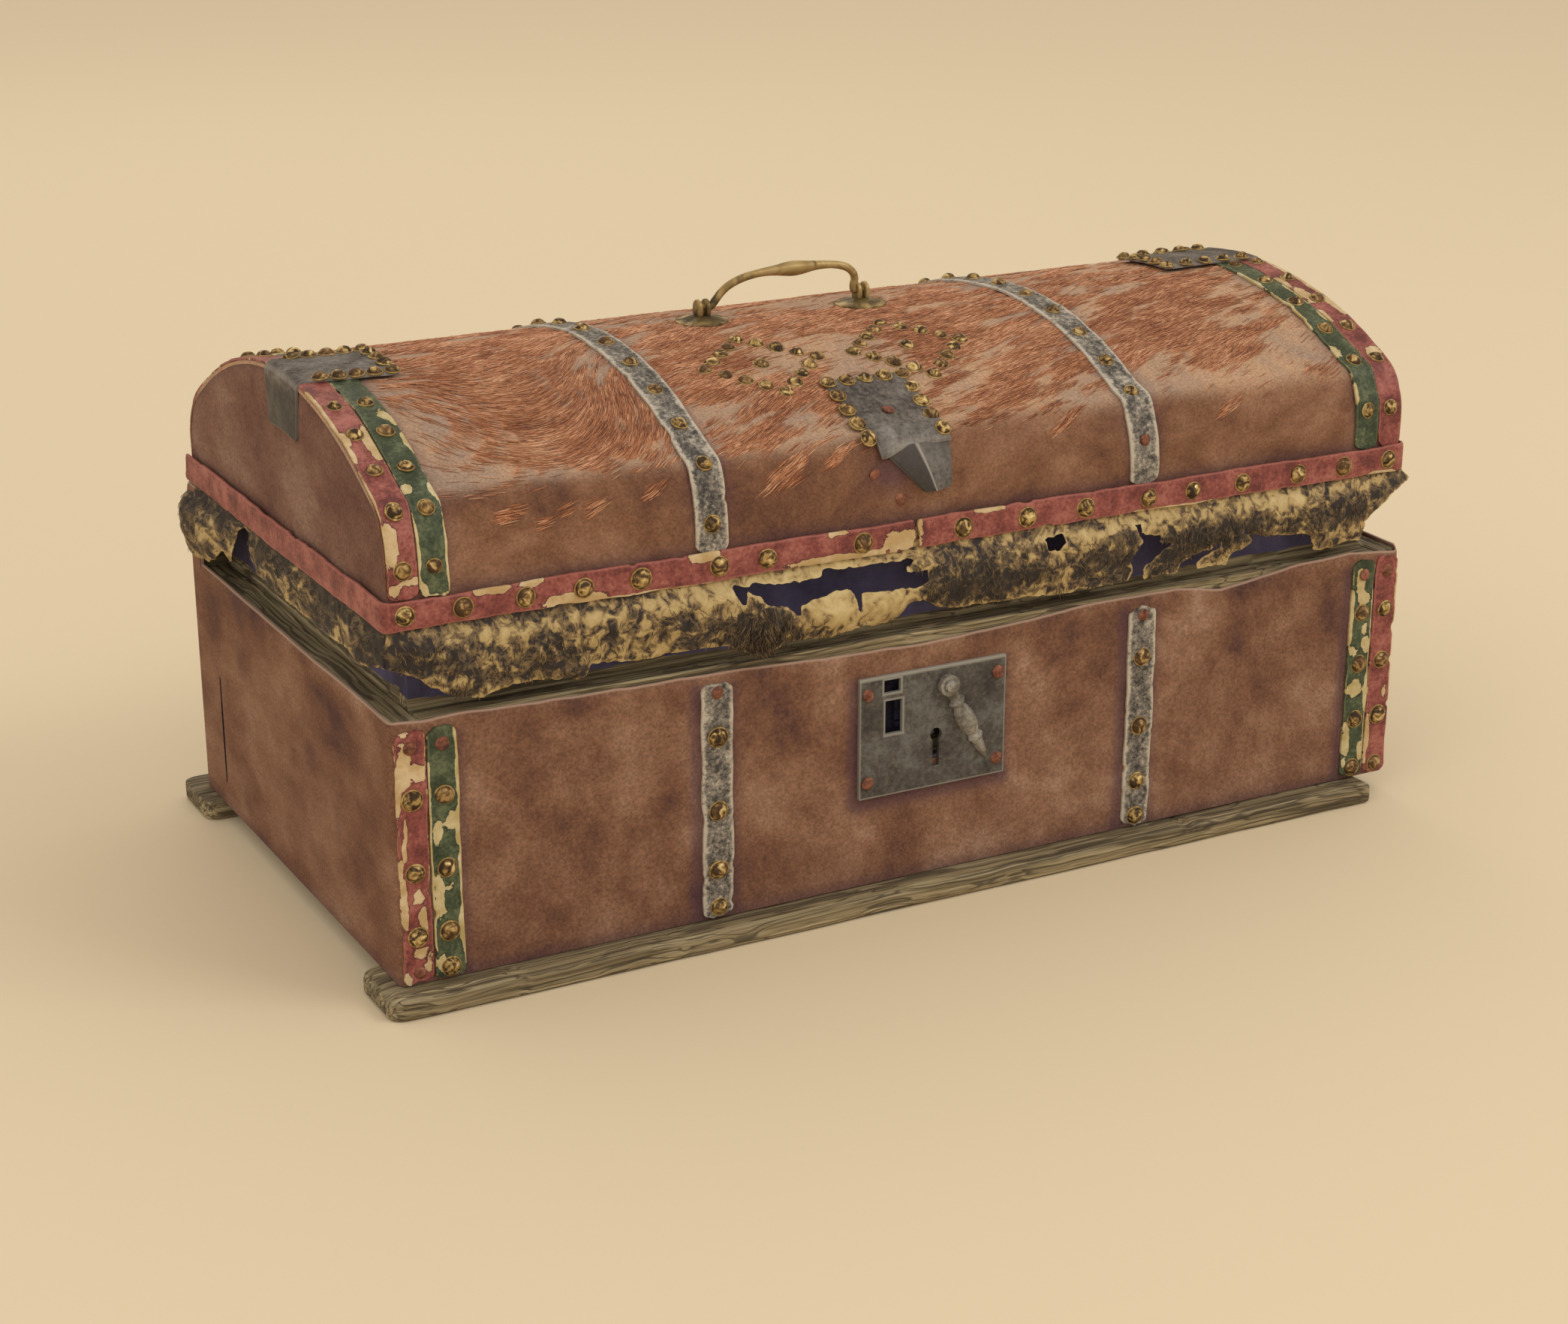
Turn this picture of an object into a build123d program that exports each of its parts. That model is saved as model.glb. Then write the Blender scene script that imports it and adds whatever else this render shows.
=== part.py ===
from build123d import *
import os
from math import atan2, cos, hypot, radians, sin, sqrt

# Hide-covered trunk with a rounded lid: the body, its lip, the lid, bands, irons, lock and handle.
# Millimetres, +Z up, +X along the trunk, the front faces -Y, the floor under the runners is z = 0.

os.makedirs("parts", exist_ok=True)

# Overall sizes
body_length = 500.0  # over the hide, end to end
body_depth = 252.0  # over the hide, front to back
wall_height = 112.0  # front and end walls, from their foot to the bare rim
lid_gap = 36.2  # from the bare rim up to the lid's lower edge
lid_rise = 78.3  # from the lid's lower edge to its crown
lid_inset = 3.0  # lid hide inside the body hide, each side
crown_shift = -6.0  # the crown lies a little in front of the middle
dome_radius = 205.0
shoulder_radius = 26.0

# Boards and skins
board_thick = 12.0
bottom_thick = 10.0
lip_thick = 9.0
lip_drop = 30.0  # how far the lip reaches down inside the walls
lid_board_thick = 14.0
stave_thick = 9.0
stave_count = 6
hide_thick = 1.6
band_thick = 1.4
iron_thick = 1.2
lay = 0.1  # gap under a skin that is laid over a curve
lid_seat = 0.3  # gap between the closed lid and what it rests on

# Runners under the front and the back
runner_thick = 9.5
runner_wide = 40.0
runner_reach = 13.4  # in front of the body, and behind it
runner_left_reach = 8.5
runner_right_stop = 17.0  # short of the body's right end
runner_round = 6.0
runner_ease = 2.5

# Leather and grey strips
edge_band_wide = 12.9
lid_band_wide = 13.0
corner_band_wide = 13.5
corner_band_inset = 1.0
corner_band_drop = 4.0  # below the bare rim
strap_wide = 15.0
strap_thick = 1.4
left_strap_x = -108.0
right_strap_x = 104.0
strap_drop = 5.0
strip_corner = 2.8  # radius at the ends of the bands and straps on the body
edge_dip = 6.5  # how far the front hide has drawn down in the middle
edge_dip_right = 1.5  # and at its right end
slit_length = 51.0
slit_wide = 1.0
slit_y = 93.0
slit_low = 11.0  # above the hide's lower edge

# Hanging flaps of raw hide under the lid's edge
flap_thick = 1.6
flap_tuck = 11.0  # part of the flap that is nailed under the edge band
front_flap_drop = 27.0
end_flap_drop = 15.5
tail_drop = 32.0
tail_wide = 22.0
tail_gap = 0.4  # from the tail to the back board's covered end
tail_tip_gap = 3.2  # how much the tail's back edge stops short of its tip
end_flap_wave = 2.0  # how far the end flaps' edges rise and fall
rag_count = 24  # steps along the front flap's lower edge
rag_short = (2.6, 2.1)  # height, and turn per step, of its short waves
rag_long = (1.6, 0.7)  # and of its long ones
corner_curl = 6.0  # how far the front flap's right end sticks out past the lid's corner
tear = ((-100, 5), (-60, 2), (-8, 2), (-18, 13), (-40, 12), (-52, 21), (-62, 15), (-86, 17))
flap_holes = ((56, 12, 9, 6), (109, 14, 22, 13), (135, 10, 17, 9), (188, 9, 33, 8))

# Lock on the front
plate_wide = 73.0
plate_high = 54.5
plate_thick = 2.0
lock_x = -4.5
lock_drop = 44.2  # from the bare rim down to the plate's middle
case_left = 26.5
case_right = 18.5
case_low = 15.0
case_high = 26.2
case_deep = 11.4
case_wall = 1.5
case_fit = 0.3
hasp_slot = (8.2, 15.0)
hasp_slot_at = (-19.7, 8.2)
upper_slot = (8.0, 5.7)
upper_slot_at = (-20.5, 22.2)
keyhole_at = (1.5, -3.5)
keyhole_radius = 2.8
keyhole_slot_wide = 3.2
keyhole_slot_long = 14.5
key_post_radius = 1.2
bolt_high = 11.0
bolt_thick = 3.0
bolt_nose_gap = 1.6  # from the slot's edge to the drawn-back bolt
bolt_long = 27.0
bolt_fit = 0.3
rail_high = 2.2
rail_deep = 4.5
talon_wide = 5.0
talon_deep = 3.0

# Turned keyhole cover on its rivet
cover_at = (6.4, 18.6)
cover_angle = 29.0  # off the vertical, towards the right
cover_long = 43.0
cover_boss_radius = 4.7
cover_boss_thick = 3.0
cover_belly = 4.6
cover_waist = 2.6
cover_ring = (0.08, 0.12, 0.19)  # start, top and end of its ring, as shares of the turned length
cover_vase = (0.38, 0.60)  # belly and end of its vase
cover_bead = (0.65, 0.70)  # top and end of its bead
cover_point = 0.86  # middle of its pointed end
cover_ring_radius = 4.1
cover_bead_radius = 3.9
cover_point_radius = 1.95
cover_gap = 0.3
rivet_radius = 1.5
rivet_fit = 0.08
rivet_head_radius = 3.0
rivet_head_high = 1.5
rivet_head_taper = 25.0

# Hasp plate on the lid
hasp_x = -14.0
hasp_wide = 40.0
hasp_thick = 1.6
hasp_low = 40.0  # distances over the hide from the lid's lower edge
hasp_high = 87.0
tongue_root_wide = 34.0
tongue_tip_wide = 15.0
tongue_long = 17.0
tongue_proud = 5.0  # how far the folded tongue stands off the hide at its tip
tongue_root_shift = 3.0  # to the right of the plate's middle
tongue_tip_shift = 12.0
loose_nails = ((-17.0, -6.0), (-5.0, -18.0))  # from the plate's middle, and from its lower edge

# Irons over the crown at the lid's ends
crown_iron_wide = 39.0
crown_iron_reaches = (43.0, 56.0)  # along the crown from its left and its right end
crown_iron_shifts = (-7.0, 11.5)  # the left one lies in front of the crown's line, the right one behind it
crown_iron_drop = 22.0
crown_iron_taper = 3.0

# Handle on the crown
handle_x = -10.0
handle_span = 82.0
rose_radius = 12.0
rose_high = 2.6
rose_rim_high = 0.65
post_radius = 2.9
eye_radius = 4.4
eye_lift = 6.0  # pivot above the crown
bail_radius = 1.7
bail_fit = 0.08
bail_rise = 12.8
bail_slope = 12.0
bail_turn = 5.0
bail_foot_gap = 1.0
bail_end_out = 3.0
bail_knob_radius = 2.7
bail_knob_long = 2.4
grip_radius = 3.5

# Hinges at the back
hinge_x = 140.0
hinge_wide = 40.0
hinge_thick = 2.0
hinge_knuckle_radius = 4.2
hinge_middle_wide = 13.4
hinge_gap = 0.3
hinge_leaf_down = 46.0
hinge_leaf_up = 10.5
hinge_pin_radius = 1.6
hinge_pin_fit = 0.05
hinge_head_radius = 2.6
hinge_head_long = 1.5

# Tacks and nails
tack_radius = 4.4  # on the body and along the edge band
tack_high = 2.2
small_tack_radius = 3.6  # on the lid's bands, straps, irons and diamonds
small_tack_high = 1.8
nail_radius = 2.8
nail_high = 1.2
fastener_sides = 8
head_flat = 0.55  # share of a head's radius that is flat on top
# Front row on the edge band, as shares of the lid's half length from its middle
edge_tack_shares = (-0.976, -0.879, -0.773, -0.672, -0.571, -0.429, -0.340, -0.158, 0.040,
                    0.170, 0.291, 0.425, 0.522, 0.632, 0.757, 0.862, 0.968)
back_tack_pitch = 26.7
band_tack_rows = ((-1, 11.0, 22.3), (1, 17.4, 24.0))  # side, height above the edge band, and pitch
left_strap_tacks = (11.0, 24.0)  # height above the edge band, and pitch
right_strap_tacks = (41.0, 22.5)
right_strap_nail = 19.0  # above the edge band, where a tack is lost
body_tack_low = 5.5  # above the foot of the walls
left_body_tacks = (0.71, 0.433, 0.188)  # the others, as shares of the walls' height
right_body_tacks = (0.737, 0.513, 0.268)
strap_body_tacks = (0.73, 0.438, 0.2)
iron_tack_count = 5  # along each nailed side of a crown iron
iron_tack_inset = 2.0  # from the sides of the irons and of the hasp plate
iron_tack_end = 10.0  # from the lid's end
hasp_tack_pitch = 9.2
hasp_top_count = 5
hasp_side_count = 4  # below the top row
plate_nail_inset = (4.0, 7.3)  # from the lock plate's side, and from its top or bottom
tack_edge_inset = 6.0
diamond_half_wide = 27.0
diamond_half_long = 24.0
diamond_side_count = 4
diamond_gap = 72.0  # from the middle of one diamond to the next
diamond_x = -16.0
diamond_over = 108.0  # distance over the hide from the lid's lower edge

# Levels and half sizes that follow from the values above
foot_z = runner_thick
floor_z = foot_z + bottom_thick
rim_z = foot_z + wall_height
lid_z = rim_z + lid_gap
seat_z = lid_z - lid_seat
crown_z = lid_z + lid_rise
half_length = body_length / 2
half_depth = body_depth / 2
wood_x = half_length - hide_thick
wood_y = half_depth - hide_thick
wall_x = wood_x - board_thick
wall_y = wood_y - board_thick
lid_half_length = half_length - lid_inset
lid_half_depth = half_depth - lid_inset
lid_wood_x = lid_half_length - hide_thick
dome_z = crown_z - dome_radius

# The lid's section: front wall, shoulder arc, dome arc, shoulder arc and back wall.
# A place on it is given by its distance over the hide from the front lower edge.
shoulder_y = lid_half_depth - shoulder_radius
core = dome_radius - shoulder_radius
front_reach = shoulder_y + crown_shift
back_reach = shoulder_y - crown_shift
front_shoulder_z = dome_z + sqrt(core**2 - front_reach**2)
back_shoulder_z = dome_z + sqrt(core**2 - back_reach**2)
front_turn = atan2(front_shoulder_z - dome_z, front_reach)
back_turn = atan2(back_shoulder_z - dome_z, back_reach)
front_wall = front_shoulder_z - lid_z
back_wall = back_shoulder_z - lid_z
dome_start = front_wall + shoulder_radius * front_turn
dome_end = dome_start + dome_radius * (radians(180) - front_turn - back_turn)
back_start = dome_end + shoulder_radius * back_turn
lid_over = back_start + back_wall
section_knots = (0.0, front_wall, dome_start, dome_end, back_start, lid_over)
crown_over = dome_start + dome_radius * (radians(90) - front_turn)


def lid_spot(over, lift=0.0):
    # Place and outward direction (y, z, ny, nz) at a distance over the hide, lifted off it
    if over <= front_wall:
        y, z, turn = -lid_half_depth, lid_z + over, 0.0
    elif over <= dome_start:
        turn = (over - front_wall) / shoulder_radius
        y = -shoulder_y - shoulder_radius * cos(turn)
        z = front_shoulder_z + shoulder_radius * sin(turn)
    elif over <= dome_end:
        turn = front_turn + (over - dome_start) / dome_radius
        y = crown_shift - dome_radius * cos(turn)
        z = dome_z + dome_radius * sin(turn)
    elif over <= back_start:
        turn = radians(180) - back_turn + (over - dome_end) / shoulder_radius
        y = shoulder_y - shoulder_radius * cos(turn)
        z = back_shoulder_z + shoulder_radius * sin(turn)
    else:
        y, z, turn = lid_half_depth, lid_z + lid_over - over, radians(180)
    return y - lift * cos(turn), z + lift * sin(turn), -cos(turn), sin(turn)


def lid_edge(start, end, lift):
    # Lines and arcs of the lid's section between two distances, lifted off the hide
    stops = [start] + [knot for knot in section_knots if start < knot < end] + [end]
    for low, high in zip(stops, stops[1:]):
        first = lid_spot(low, lift)[:2]
        middle = lid_spot((low + high) / 2, lift)[:2]
        last = lid_spot(high, lift)[:2]
        if high <= front_wall or low >= back_start:
            Line(first, last)
        else:
            ThreePointArc(first, middle, last)


def lid_layer(start, end, under, over):
    # Section of a skin or board that follows the lid between two distances
    with BuildSketch(Plane.XY, mode=Mode.PRIVATE) as section:
        with BuildLine():
            lid_edge(start, end, over)
            lid_edge(start, end, under)
            Line(lid_spot(start, under)[:2], lid_spot(start, over)[:2])
            Line(lid_spot(end, under)[:2], lid_spot(end, over)[:2])
        make_face()
    return section.sketch_local


def lid_outline(lift):
    # The whole lid section, filled down to its lower edge
    with BuildSketch(Plane.XY, mode=Mode.PRIVATE) as section:
        with BuildLine():
            lid_edge(0.0, lid_over, lift)
            Line(lid_spot(lid_over, lift)[:2], lid_spot(0.0, lift)[:2])
        make_face()
    return section.sketch_local


def block(low, high):
    # A rectangular board between two opposite corners
    middle = tuple((a + b) / 2 for a, b in zip(low, high))
    with Locations(middle):
        Box(*[b - a for a, b in zip(low, high)])


# Bottom board under the four walls
with BuildPart() as bottom_board:
    block((-wood_x, -wood_y, foot_z), (wood_x, wood_y, floor_z))
bottom_board.part.label = "bottom_board"
export_step(bottom_board.part, "parts/bottom_board.step")

# Lock pocket in the front wall: the case's outline, a little larger
lock_z = rim_z - lock_drop
pocket_low = (lock_x - case_left - case_fit, lock_z - case_low - case_fit)
pocket_high = (lock_x + case_right + case_fit, lock_z + case_high + case_fit)
case_back_y = -half_depth + case_deep
pocket_back_y = case_back_y + case_fit

# Front board between the end boards, with the lock pocket in its face
with BuildPart() as front_board:
    block((-wall_x, -wood_y, floor_z), (wall_x, -wall_y, rim_z))
    with Locations(((pocket_low[0] + pocket_high[0]) / 2, (-wood_y + pocket_back_y) / 2,
                    (pocket_low[1] + pocket_high[1]) / 2)):
        Box(pocket_high[0] - pocket_low[0], pocket_back_y + wood_y, pocket_high[1] - pocket_low[1],
            mode=Mode.SUBTRACT)
front_board.part.label = "front_board"
export_step(front_board.part, "parts/front_board.step")

# Back board, full length, up to the lid's edge
with BuildPart() as back_board:
    block((-wood_x, wall_y, floor_z), (wood_x, wood_y, seat_z))
back_board.part.label = "back_board"
export_step(back_board.part, "parts/back_board.step")

# End boards against the back board, with the front board between them
for side, name in ((-1, "left"), (1, "right")):
    with BuildPart() as end_board:
        outer, inner = side * wood_x, side * wall_x
        block((min(outer, inner), -wood_y, floor_z), (max(outer, inner), wall_y, rim_z))
    end_board.part.label = f"{name}_end_board"
    export_step(end_board.part, f"parts/{name}_end_board.step")

# Lip boards inside the walls, which the lid comes down on
with BuildPart() as front_lip:
    block((-wall_x, -wall_y, rim_z - lip_drop), (wall_x, -wall_y + lip_thick, seat_z))
front_lip.part.label = "front_lip"
export_step(front_lip.part, "parts/front_lip.step")

for side, name in ((-1, "left"), (1, "right")):
    with BuildPart() as end_lip:
        outer, inner = side * wall_x, side * (wall_x - lip_thick)
        block((min(outer, inner), -wall_y + lip_thick, rim_z - lip_drop), (max(outer, inner), wall_y, seat_z))
    end_lip.part.label = f"{name}_lip"
    export_step(end_lip.part, f"parts/{name}_lip.step")

# Runners: flat boards that stand out at the front, the back and the left end
runner_low_x = -half_length - runner_left_reach
runner_high_x = half_length - runner_right_stop
for side, name in ((-1, "front"), (1, "rear")):
    outer, inner = side * (half_depth + runner_reach), side * (half_depth + runner_reach - runner_wide)
    with BuildPart() as runner:
        block((runner_low_x, min(outer, inner), 0.0), (runner_high_x, max(outer, inner), runner_thick))
        upright = runner.edges().filter_by(Axis.Z)
        fillet(upright.group_by(Axis.X)[0], runner_round)
        fillet(runner.faces().sort_by(Axis.Z)[-1].edges(), runner_ease)
    runner.part.label = f"{name}_runner"
    export_step(runner.part, f"parts/{name}_runner.step")

# Front hide, its top edge drawn down in the middle, open behind the lock
with BuildPart() as front_body_hide:
    with BuildSketch(Plane.XZ.offset(wood_y)):
        with BuildLine():
            Polyline((half_length, rim_z - edge_dip_right), (half_length, foot_z), (-half_length, foot_z),
                     (-half_length, rim_z))
            Spline((-half_length, rim_z), (-half_length / 2, rim_z - edge_dip / 3), (0, rim_z - edge_dip),
                   (half_length / 2, rim_z - edge_dip / 3), (half_length, rim_z - edge_dip_right))
        make_face()
        with Locations(((pocket_low[0] + pocket_high[0]) / 2, (pocket_low[1] + pocket_high[1]) / 2)):
            Rectangle(pocket_high[0] - pocket_low[0], pocket_high[1] - pocket_low[1], mode=Mode.SUBTRACT)
    extrude(amount=hide_thick)
front_body_hide.part.label = "front_body_hide"
export_step(front_body_hide.part, "parts/front_body_hide.step")

with BuildPart() as back_body_hide:
    block((-half_length, wood_y, foot_z), (half_length, half_depth, seat_z))
back_body_hide.part.label = "back_body_hide"
export_step(back_body_hide.part, "parts/back_body_hide.step")

# End hides, with a tab up the end of the back board; the left one is slit
for side, name in ((-1, "left"), (1, "right")):
    with BuildPart() as end_hide:
        with BuildSketch(Plane.YZ.offset(min(side * wood_x, side * half_length))):
            with BuildLine():
                Polyline((-wood_y, foot_z), (wood_y, foot_z), (wood_y, seat_z), (wall_y, seat_z),
                         (wall_y, rim_z), (-wood_y, rim_z), close=True)
            make_face()
            if side < 0:
                with Locations((slit_y, foot_z + slit_low + slit_length / 2)):
                    Rectangle(slit_wide, slit_length, mode=Mode.SUBTRACT)
        extrude(amount=hide_thick)
    end_hide.part.label = f"{name}_body_hide"
    export_step(end_hide.part, f"parts/{name}_body_hide.step")


def front_strip(middle_x, wide, low_z, high_z):
    # Outline of a flat strip on the front hide, with eased corners
    with BuildSketch(Plane.XY, mode=Mode.PRIVATE) as strip:
        with Locations((middle_x, (low_z + high_z) / 2)):
            RectangleRounded(wide, high_z - low_z, strip_corner)
    return strip.sketch_local


# Red and green bands up the front corners of the body
red_corner_x = half_length - corner_band_inset - corner_band_wide / 2
green_corner_x = red_corner_x - corner_band_wide
for side, name in ((-1, "left"), (1, "right")):
    for colour, middle in (("red", red_corner_x), ("green", green_corner_x)):
        with BuildPart() as corner_band:
            with BuildSketch(Plane.XZ.offset(half_depth)):
                add(front_strip(side * middle, corner_band_wide, foot_z, rim_z - corner_band_drop))
            extrude(amount=band_thick)
        corner_band.part.label = f"{name}_{colour}_corner_band"
        export_step(corner_band.part, f"parts/{name}_{colour}_corner_band.step")

# Grey straps down the front of the body
for middle, name in ((left_strap_x, "left"), (right_strap_x, "right")):
    with BuildPart() as body_strap:
        with BuildSketch(Plane.XZ.offset(half_depth)):
            add(front_strip(middle, strap_wide, foot_z, rim_z - edge_dip / 3 - strap_drop))
        extrude(amount=strap_thick)
    body_strap.part.label = f"{name}_body_strap"
    export_step(body_strap.part, f"parts/{name}_body_strap.step")

# Lock plate with its slots and keyhole
plate_face_y = -half_depth - plate_thick
keyhole_x = lock_x + keyhole_at[0]
keyhole_z = lock_z + keyhole_at[1]
with BuildPart() as lock_plate:
    with BuildSketch(Plane.XZ.offset(half_depth)):
        with Locations((lock_x, lock_z)):
            Rectangle(plate_wide, plate_high)
        with Locations((lock_x + hasp_slot_at[0], lock_z + hasp_slot_at[1])):
            Rectangle(*hasp_slot, mode=Mode.SUBTRACT)
        with Locations((lock_x + upper_slot_at[0], lock_z + upper_slot_at[1])):
            Rectangle(*upper_slot, mode=Mode.SUBTRACT)
        with Locations((keyhole_x, keyhole_z)):
            Circle(keyhole_radius, mode=Mode.SUBTRACT)
        with Locations((keyhole_x, keyhole_z - keyhole_slot_long / 2)):
            Rectangle(keyhole_slot_wide, keyhole_slot_long, mode=Mode.SUBTRACT)
    extrude(amount=plate_thick)
lock_plate.part.label = "lock_plate"
export_step(lock_plate.part, "parts/lock_plate.step")

# Lock case: an open box behind the plate, with guide rails and the key's post
bolt_middle_z = lock_z + hasp_slot_at[1]
bolt_nose_x = lock_x + hasp_slot_at[0] + hasp_slot[0] / 2 + bolt_nose_gap
bolt_back_y = case_back_y - case_wall - bolt_fit
case_low_x, case_high_x = lock_x - case_left, lock_x + case_right
with BuildPart() as lock_case:
    with BuildSketch(Plane.XZ.offset(-case_back_y)):
        with Locations(((case_low_x + case_high_x) / 2, lock_z + (case_high - case_low) / 2)):
            Rectangle(case_left + case_right, case_low + case_high)
    extrude(amount=case_deep)
    with BuildSketch(Plane.XZ.offset(half_depth)):
        with Locations(((case_low_x + case_high_x) / 2, lock_z + (case_high - case_low) / 2)):
            Rectangle(case_left + case_right - 2 * case_wall, case_low + case_high - 2 * case_wall)
    extrude(amount=-(case_deep - case_wall), mode=Mode.SUBTRACT)
    for side in (-1, 1):
        rail_z = bolt_middle_z + side * (bolt_high / 2 + bolt_fit + rail_high / 2)
        with BuildSketch(Plane.XZ.offset(-case_back_y + case_wall)):
            with Locations(((bolt_nose_x + case_high_x - case_wall) / 2, rail_z)):
                Rectangle(case_high_x - case_wall - bolt_nose_x, rail_high)
        extrude(amount=rail_deep)
    with BuildSketch(Plane.XZ.offset(-case_back_y + case_wall)):
        with Locations((keyhole_x, keyhole_z)):
            Circle(key_post_radius)
    extrude(amount=case_deep - 2 * case_wall)
lock_case.part.label = "lock_case"
export_step(lock_case.part, "parts/lock_case.step")

# Bolt, drawn back beside the slot, with a talon notch over the keyhole
with BuildPart() as lock_bolt:
    with BuildSketch(Plane.XZ.offset(-bolt_back_y)):
        with Locations((bolt_nose_x + bolt_long / 2, bolt_middle_z)):
            Rectangle(bolt_long, bolt_high)
        with Locations((keyhole_x, bolt_middle_z - bolt_high / 2 + talon_deep / 2)):
            Rectangle(talon_wide, talon_deep, mode=Mode.SUBTRACT)
    extrude(amount=bolt_thick)
lock_bolt.part.label = "lock_bolt"
export_step(lock_bolt.part, "parts/lock_bolt.step")

# Turned keyhole cover: half a baluster with a flat back, hanging from its rivet
cover_x = lock_x + cover_at[0]
cover_z = lock_z + cover_at[1]
cover_back_y = plate_face_y - cover_gap
down = (sin(radians(cover_angle)), 0, -cos(radians(cover_angle)))
cover_plane = Plane(origin=(cover_x, cover_back_y, cover_z), x_dir=down, z_dir=(0, -1, 0))
turned = cover_long - cover_boss_radius
ring = [cover_boss_radius + turned * share for share in cover_ring]
vase = [cover_boss_radius + turned * share for share in cover_vase]
bead = [cover_boss_radius + turned * share for share in cover_bead]
point_at = cover_boss_radius + turned * cover_point
with BuildPart() as keyhole_cover:
    with BuildSketch(cover_plane):
        with BuildLine():
            Polyline((cover_long, 0), (cover_boss_radius / 2, 0), (cover_boss_radius / 2, cover_waist),
                     (ring[0], cover_waist), (ring[1], cover_ring_radius), (ring[2], cover_waist))
            ThreePointArc((ring[2], cover_waist), (vase[0], cover_belly), (vase[1], cover_waist))
            Polyline((vase[1], cover_waist), (bead[0], cover_bead_radius), (bead[1], cover_waist))
            Spline((bead[1], cover_waist), (point_at, cover_point_radius), (cover_long, 0))
        make_face()
    revolve(axis=Axis(cover_plane.origin, cover_plane.x_dir), revolution_arc=180)
    with BuildSketch(cover_plane):
        Circle(cover_boss_radius)
    extrude(amount=cover_boss_thick)
    with BuildSketch(cover_plane.offset(-cover_gap)):
        Circle(rivet_radius + rivet_fit)
    extrude(amount=cover_boss_thick + 2 * cover_gap + cover_belly, mode=Mode.SUBTRACT)
keyhole_cover.part.label = "keyhole_cover"
export_step(keyhole_cover.part, "parts/keyhole_cover.step")

# Rivet that the cover turns on
rivet_long = cover_boss_thick + 2 * cover_gap
with BuildPart() as cover_rivet:
    with BuildSketch(Plane.XZ.offset(-plate_face_y)):
        with Locations((cover_x, cover_z)):
            Circle(rivet_radius)
    extrude(amount=rivet_long)
    with BuildSketch(Plane.XZ.offset(-plate_face_y + rivet_long)):
        with Locations((cover_x, cover_z)):
            Circle(rivet_head_radius)
    extrude(amount=rivet_head_high, taper=rivet_head_taper)
cover_rivet.part.label = "cover_rivet"
export_step(cover_rivet.part, "parts/cover_rivet.step")

# Lid end boards inside the staves, notched for the rails
stave_out = -(hide_thick + lay)
stave_in = stave_out - stave_thick
rail_in = -(hide_thick + lid_board_thick)
for side, name in ((-1, "left"), (1, "right")):
    with BuildPart() as lid_end:
        with BuildSketch(Plane.YZ.offset(min(side * lid_wood_x, side * (lid_wood_x - lid_board_thick)))):
            add(lid_outline(stave_in - lay))
            for start, end in ((0.0, front_wall), (back_start, lid_over)):
                y = lid_spot(start, rail_in - lay)[0]
                wide = 2 * lid_board_thick
                with Locations((y + (wide / 2 if y > 0 else -wide / 2), lid_z + (end - start) / 2)):
                    Rectangle(wide, end - start + 2 * lay, mode=Mode.SUBTRACT)
        extrude(amount=lid_board_thick)
    lid_end.part.label = f"lid_{name}_end"
    export_step(lid_end.part, f"parts/lid_{name}_end.step")

# Rails: the upright front and back boards of the lid
for start, end, name in ((0.0, front_wall, "front"), (back_start, lid_over, "back")):
    with BuildPart() as lid_rail:
        with BuildSketch(Plane.YZ.offset(-lid_wood_x)):
            add(lid_layer(start, end, rail_in, -hide_thick))
        extrude(amount=2 * lid_wood_x)
    lid_rail.part.label = f"lid_{name}_rail"
    export_step(lid_rail.part, f"parts/lid_{name}_rail.step")

# Staves that close the lid between the rails
stave_step = (back_start - front_wall) / stave_count
for number in range(stave_count):
    start = front_wall + number * stave_step
    with BuildPart() as lid_stave:
        with BuildSketch(Plane.YZ.offset(-lid_wood_x)):
            add(lid_layer(start, start + stave_step, stave_in, stave_out))
        extrude(amount=2 * lid_wood_x)
    lid_stave.part.label = f"lid_stave_{number + 1}"
    export_step(lid_stave.part, f"parts/lid_stave_{number + 1}.step")

# Hide over the lid, from the front edge to the back edge
with BuildPart() as lid_hide:
    with BuildSketch(Plane.YZ.offset(-lid_half_length)):
        add(lid_layer(0.0, lid_over, -hide_thick, 0.0))
    extrude(amount=2 * lid_half_length)
lid_hide.part.label = "lid_hide"
export_step(lid_hide.part, "parts/lid_hide.step")

for side, name in ((-1, "left"), (1, "right")):
    with BuildPart() as lid_end_hide:
        with BuildSketch(Plane.YZ.offset(min(side * lid_wood_x, side * lid_half_length))):
            add(lid_outline(stave_out))
        extrude(amount=hide_thick)
    lid_end_hide.part.label = f"{name}_lid_end_hide"
    export_step(lid_end_hide.part, f"parts/{name}_lid_end_hide.step")

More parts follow.
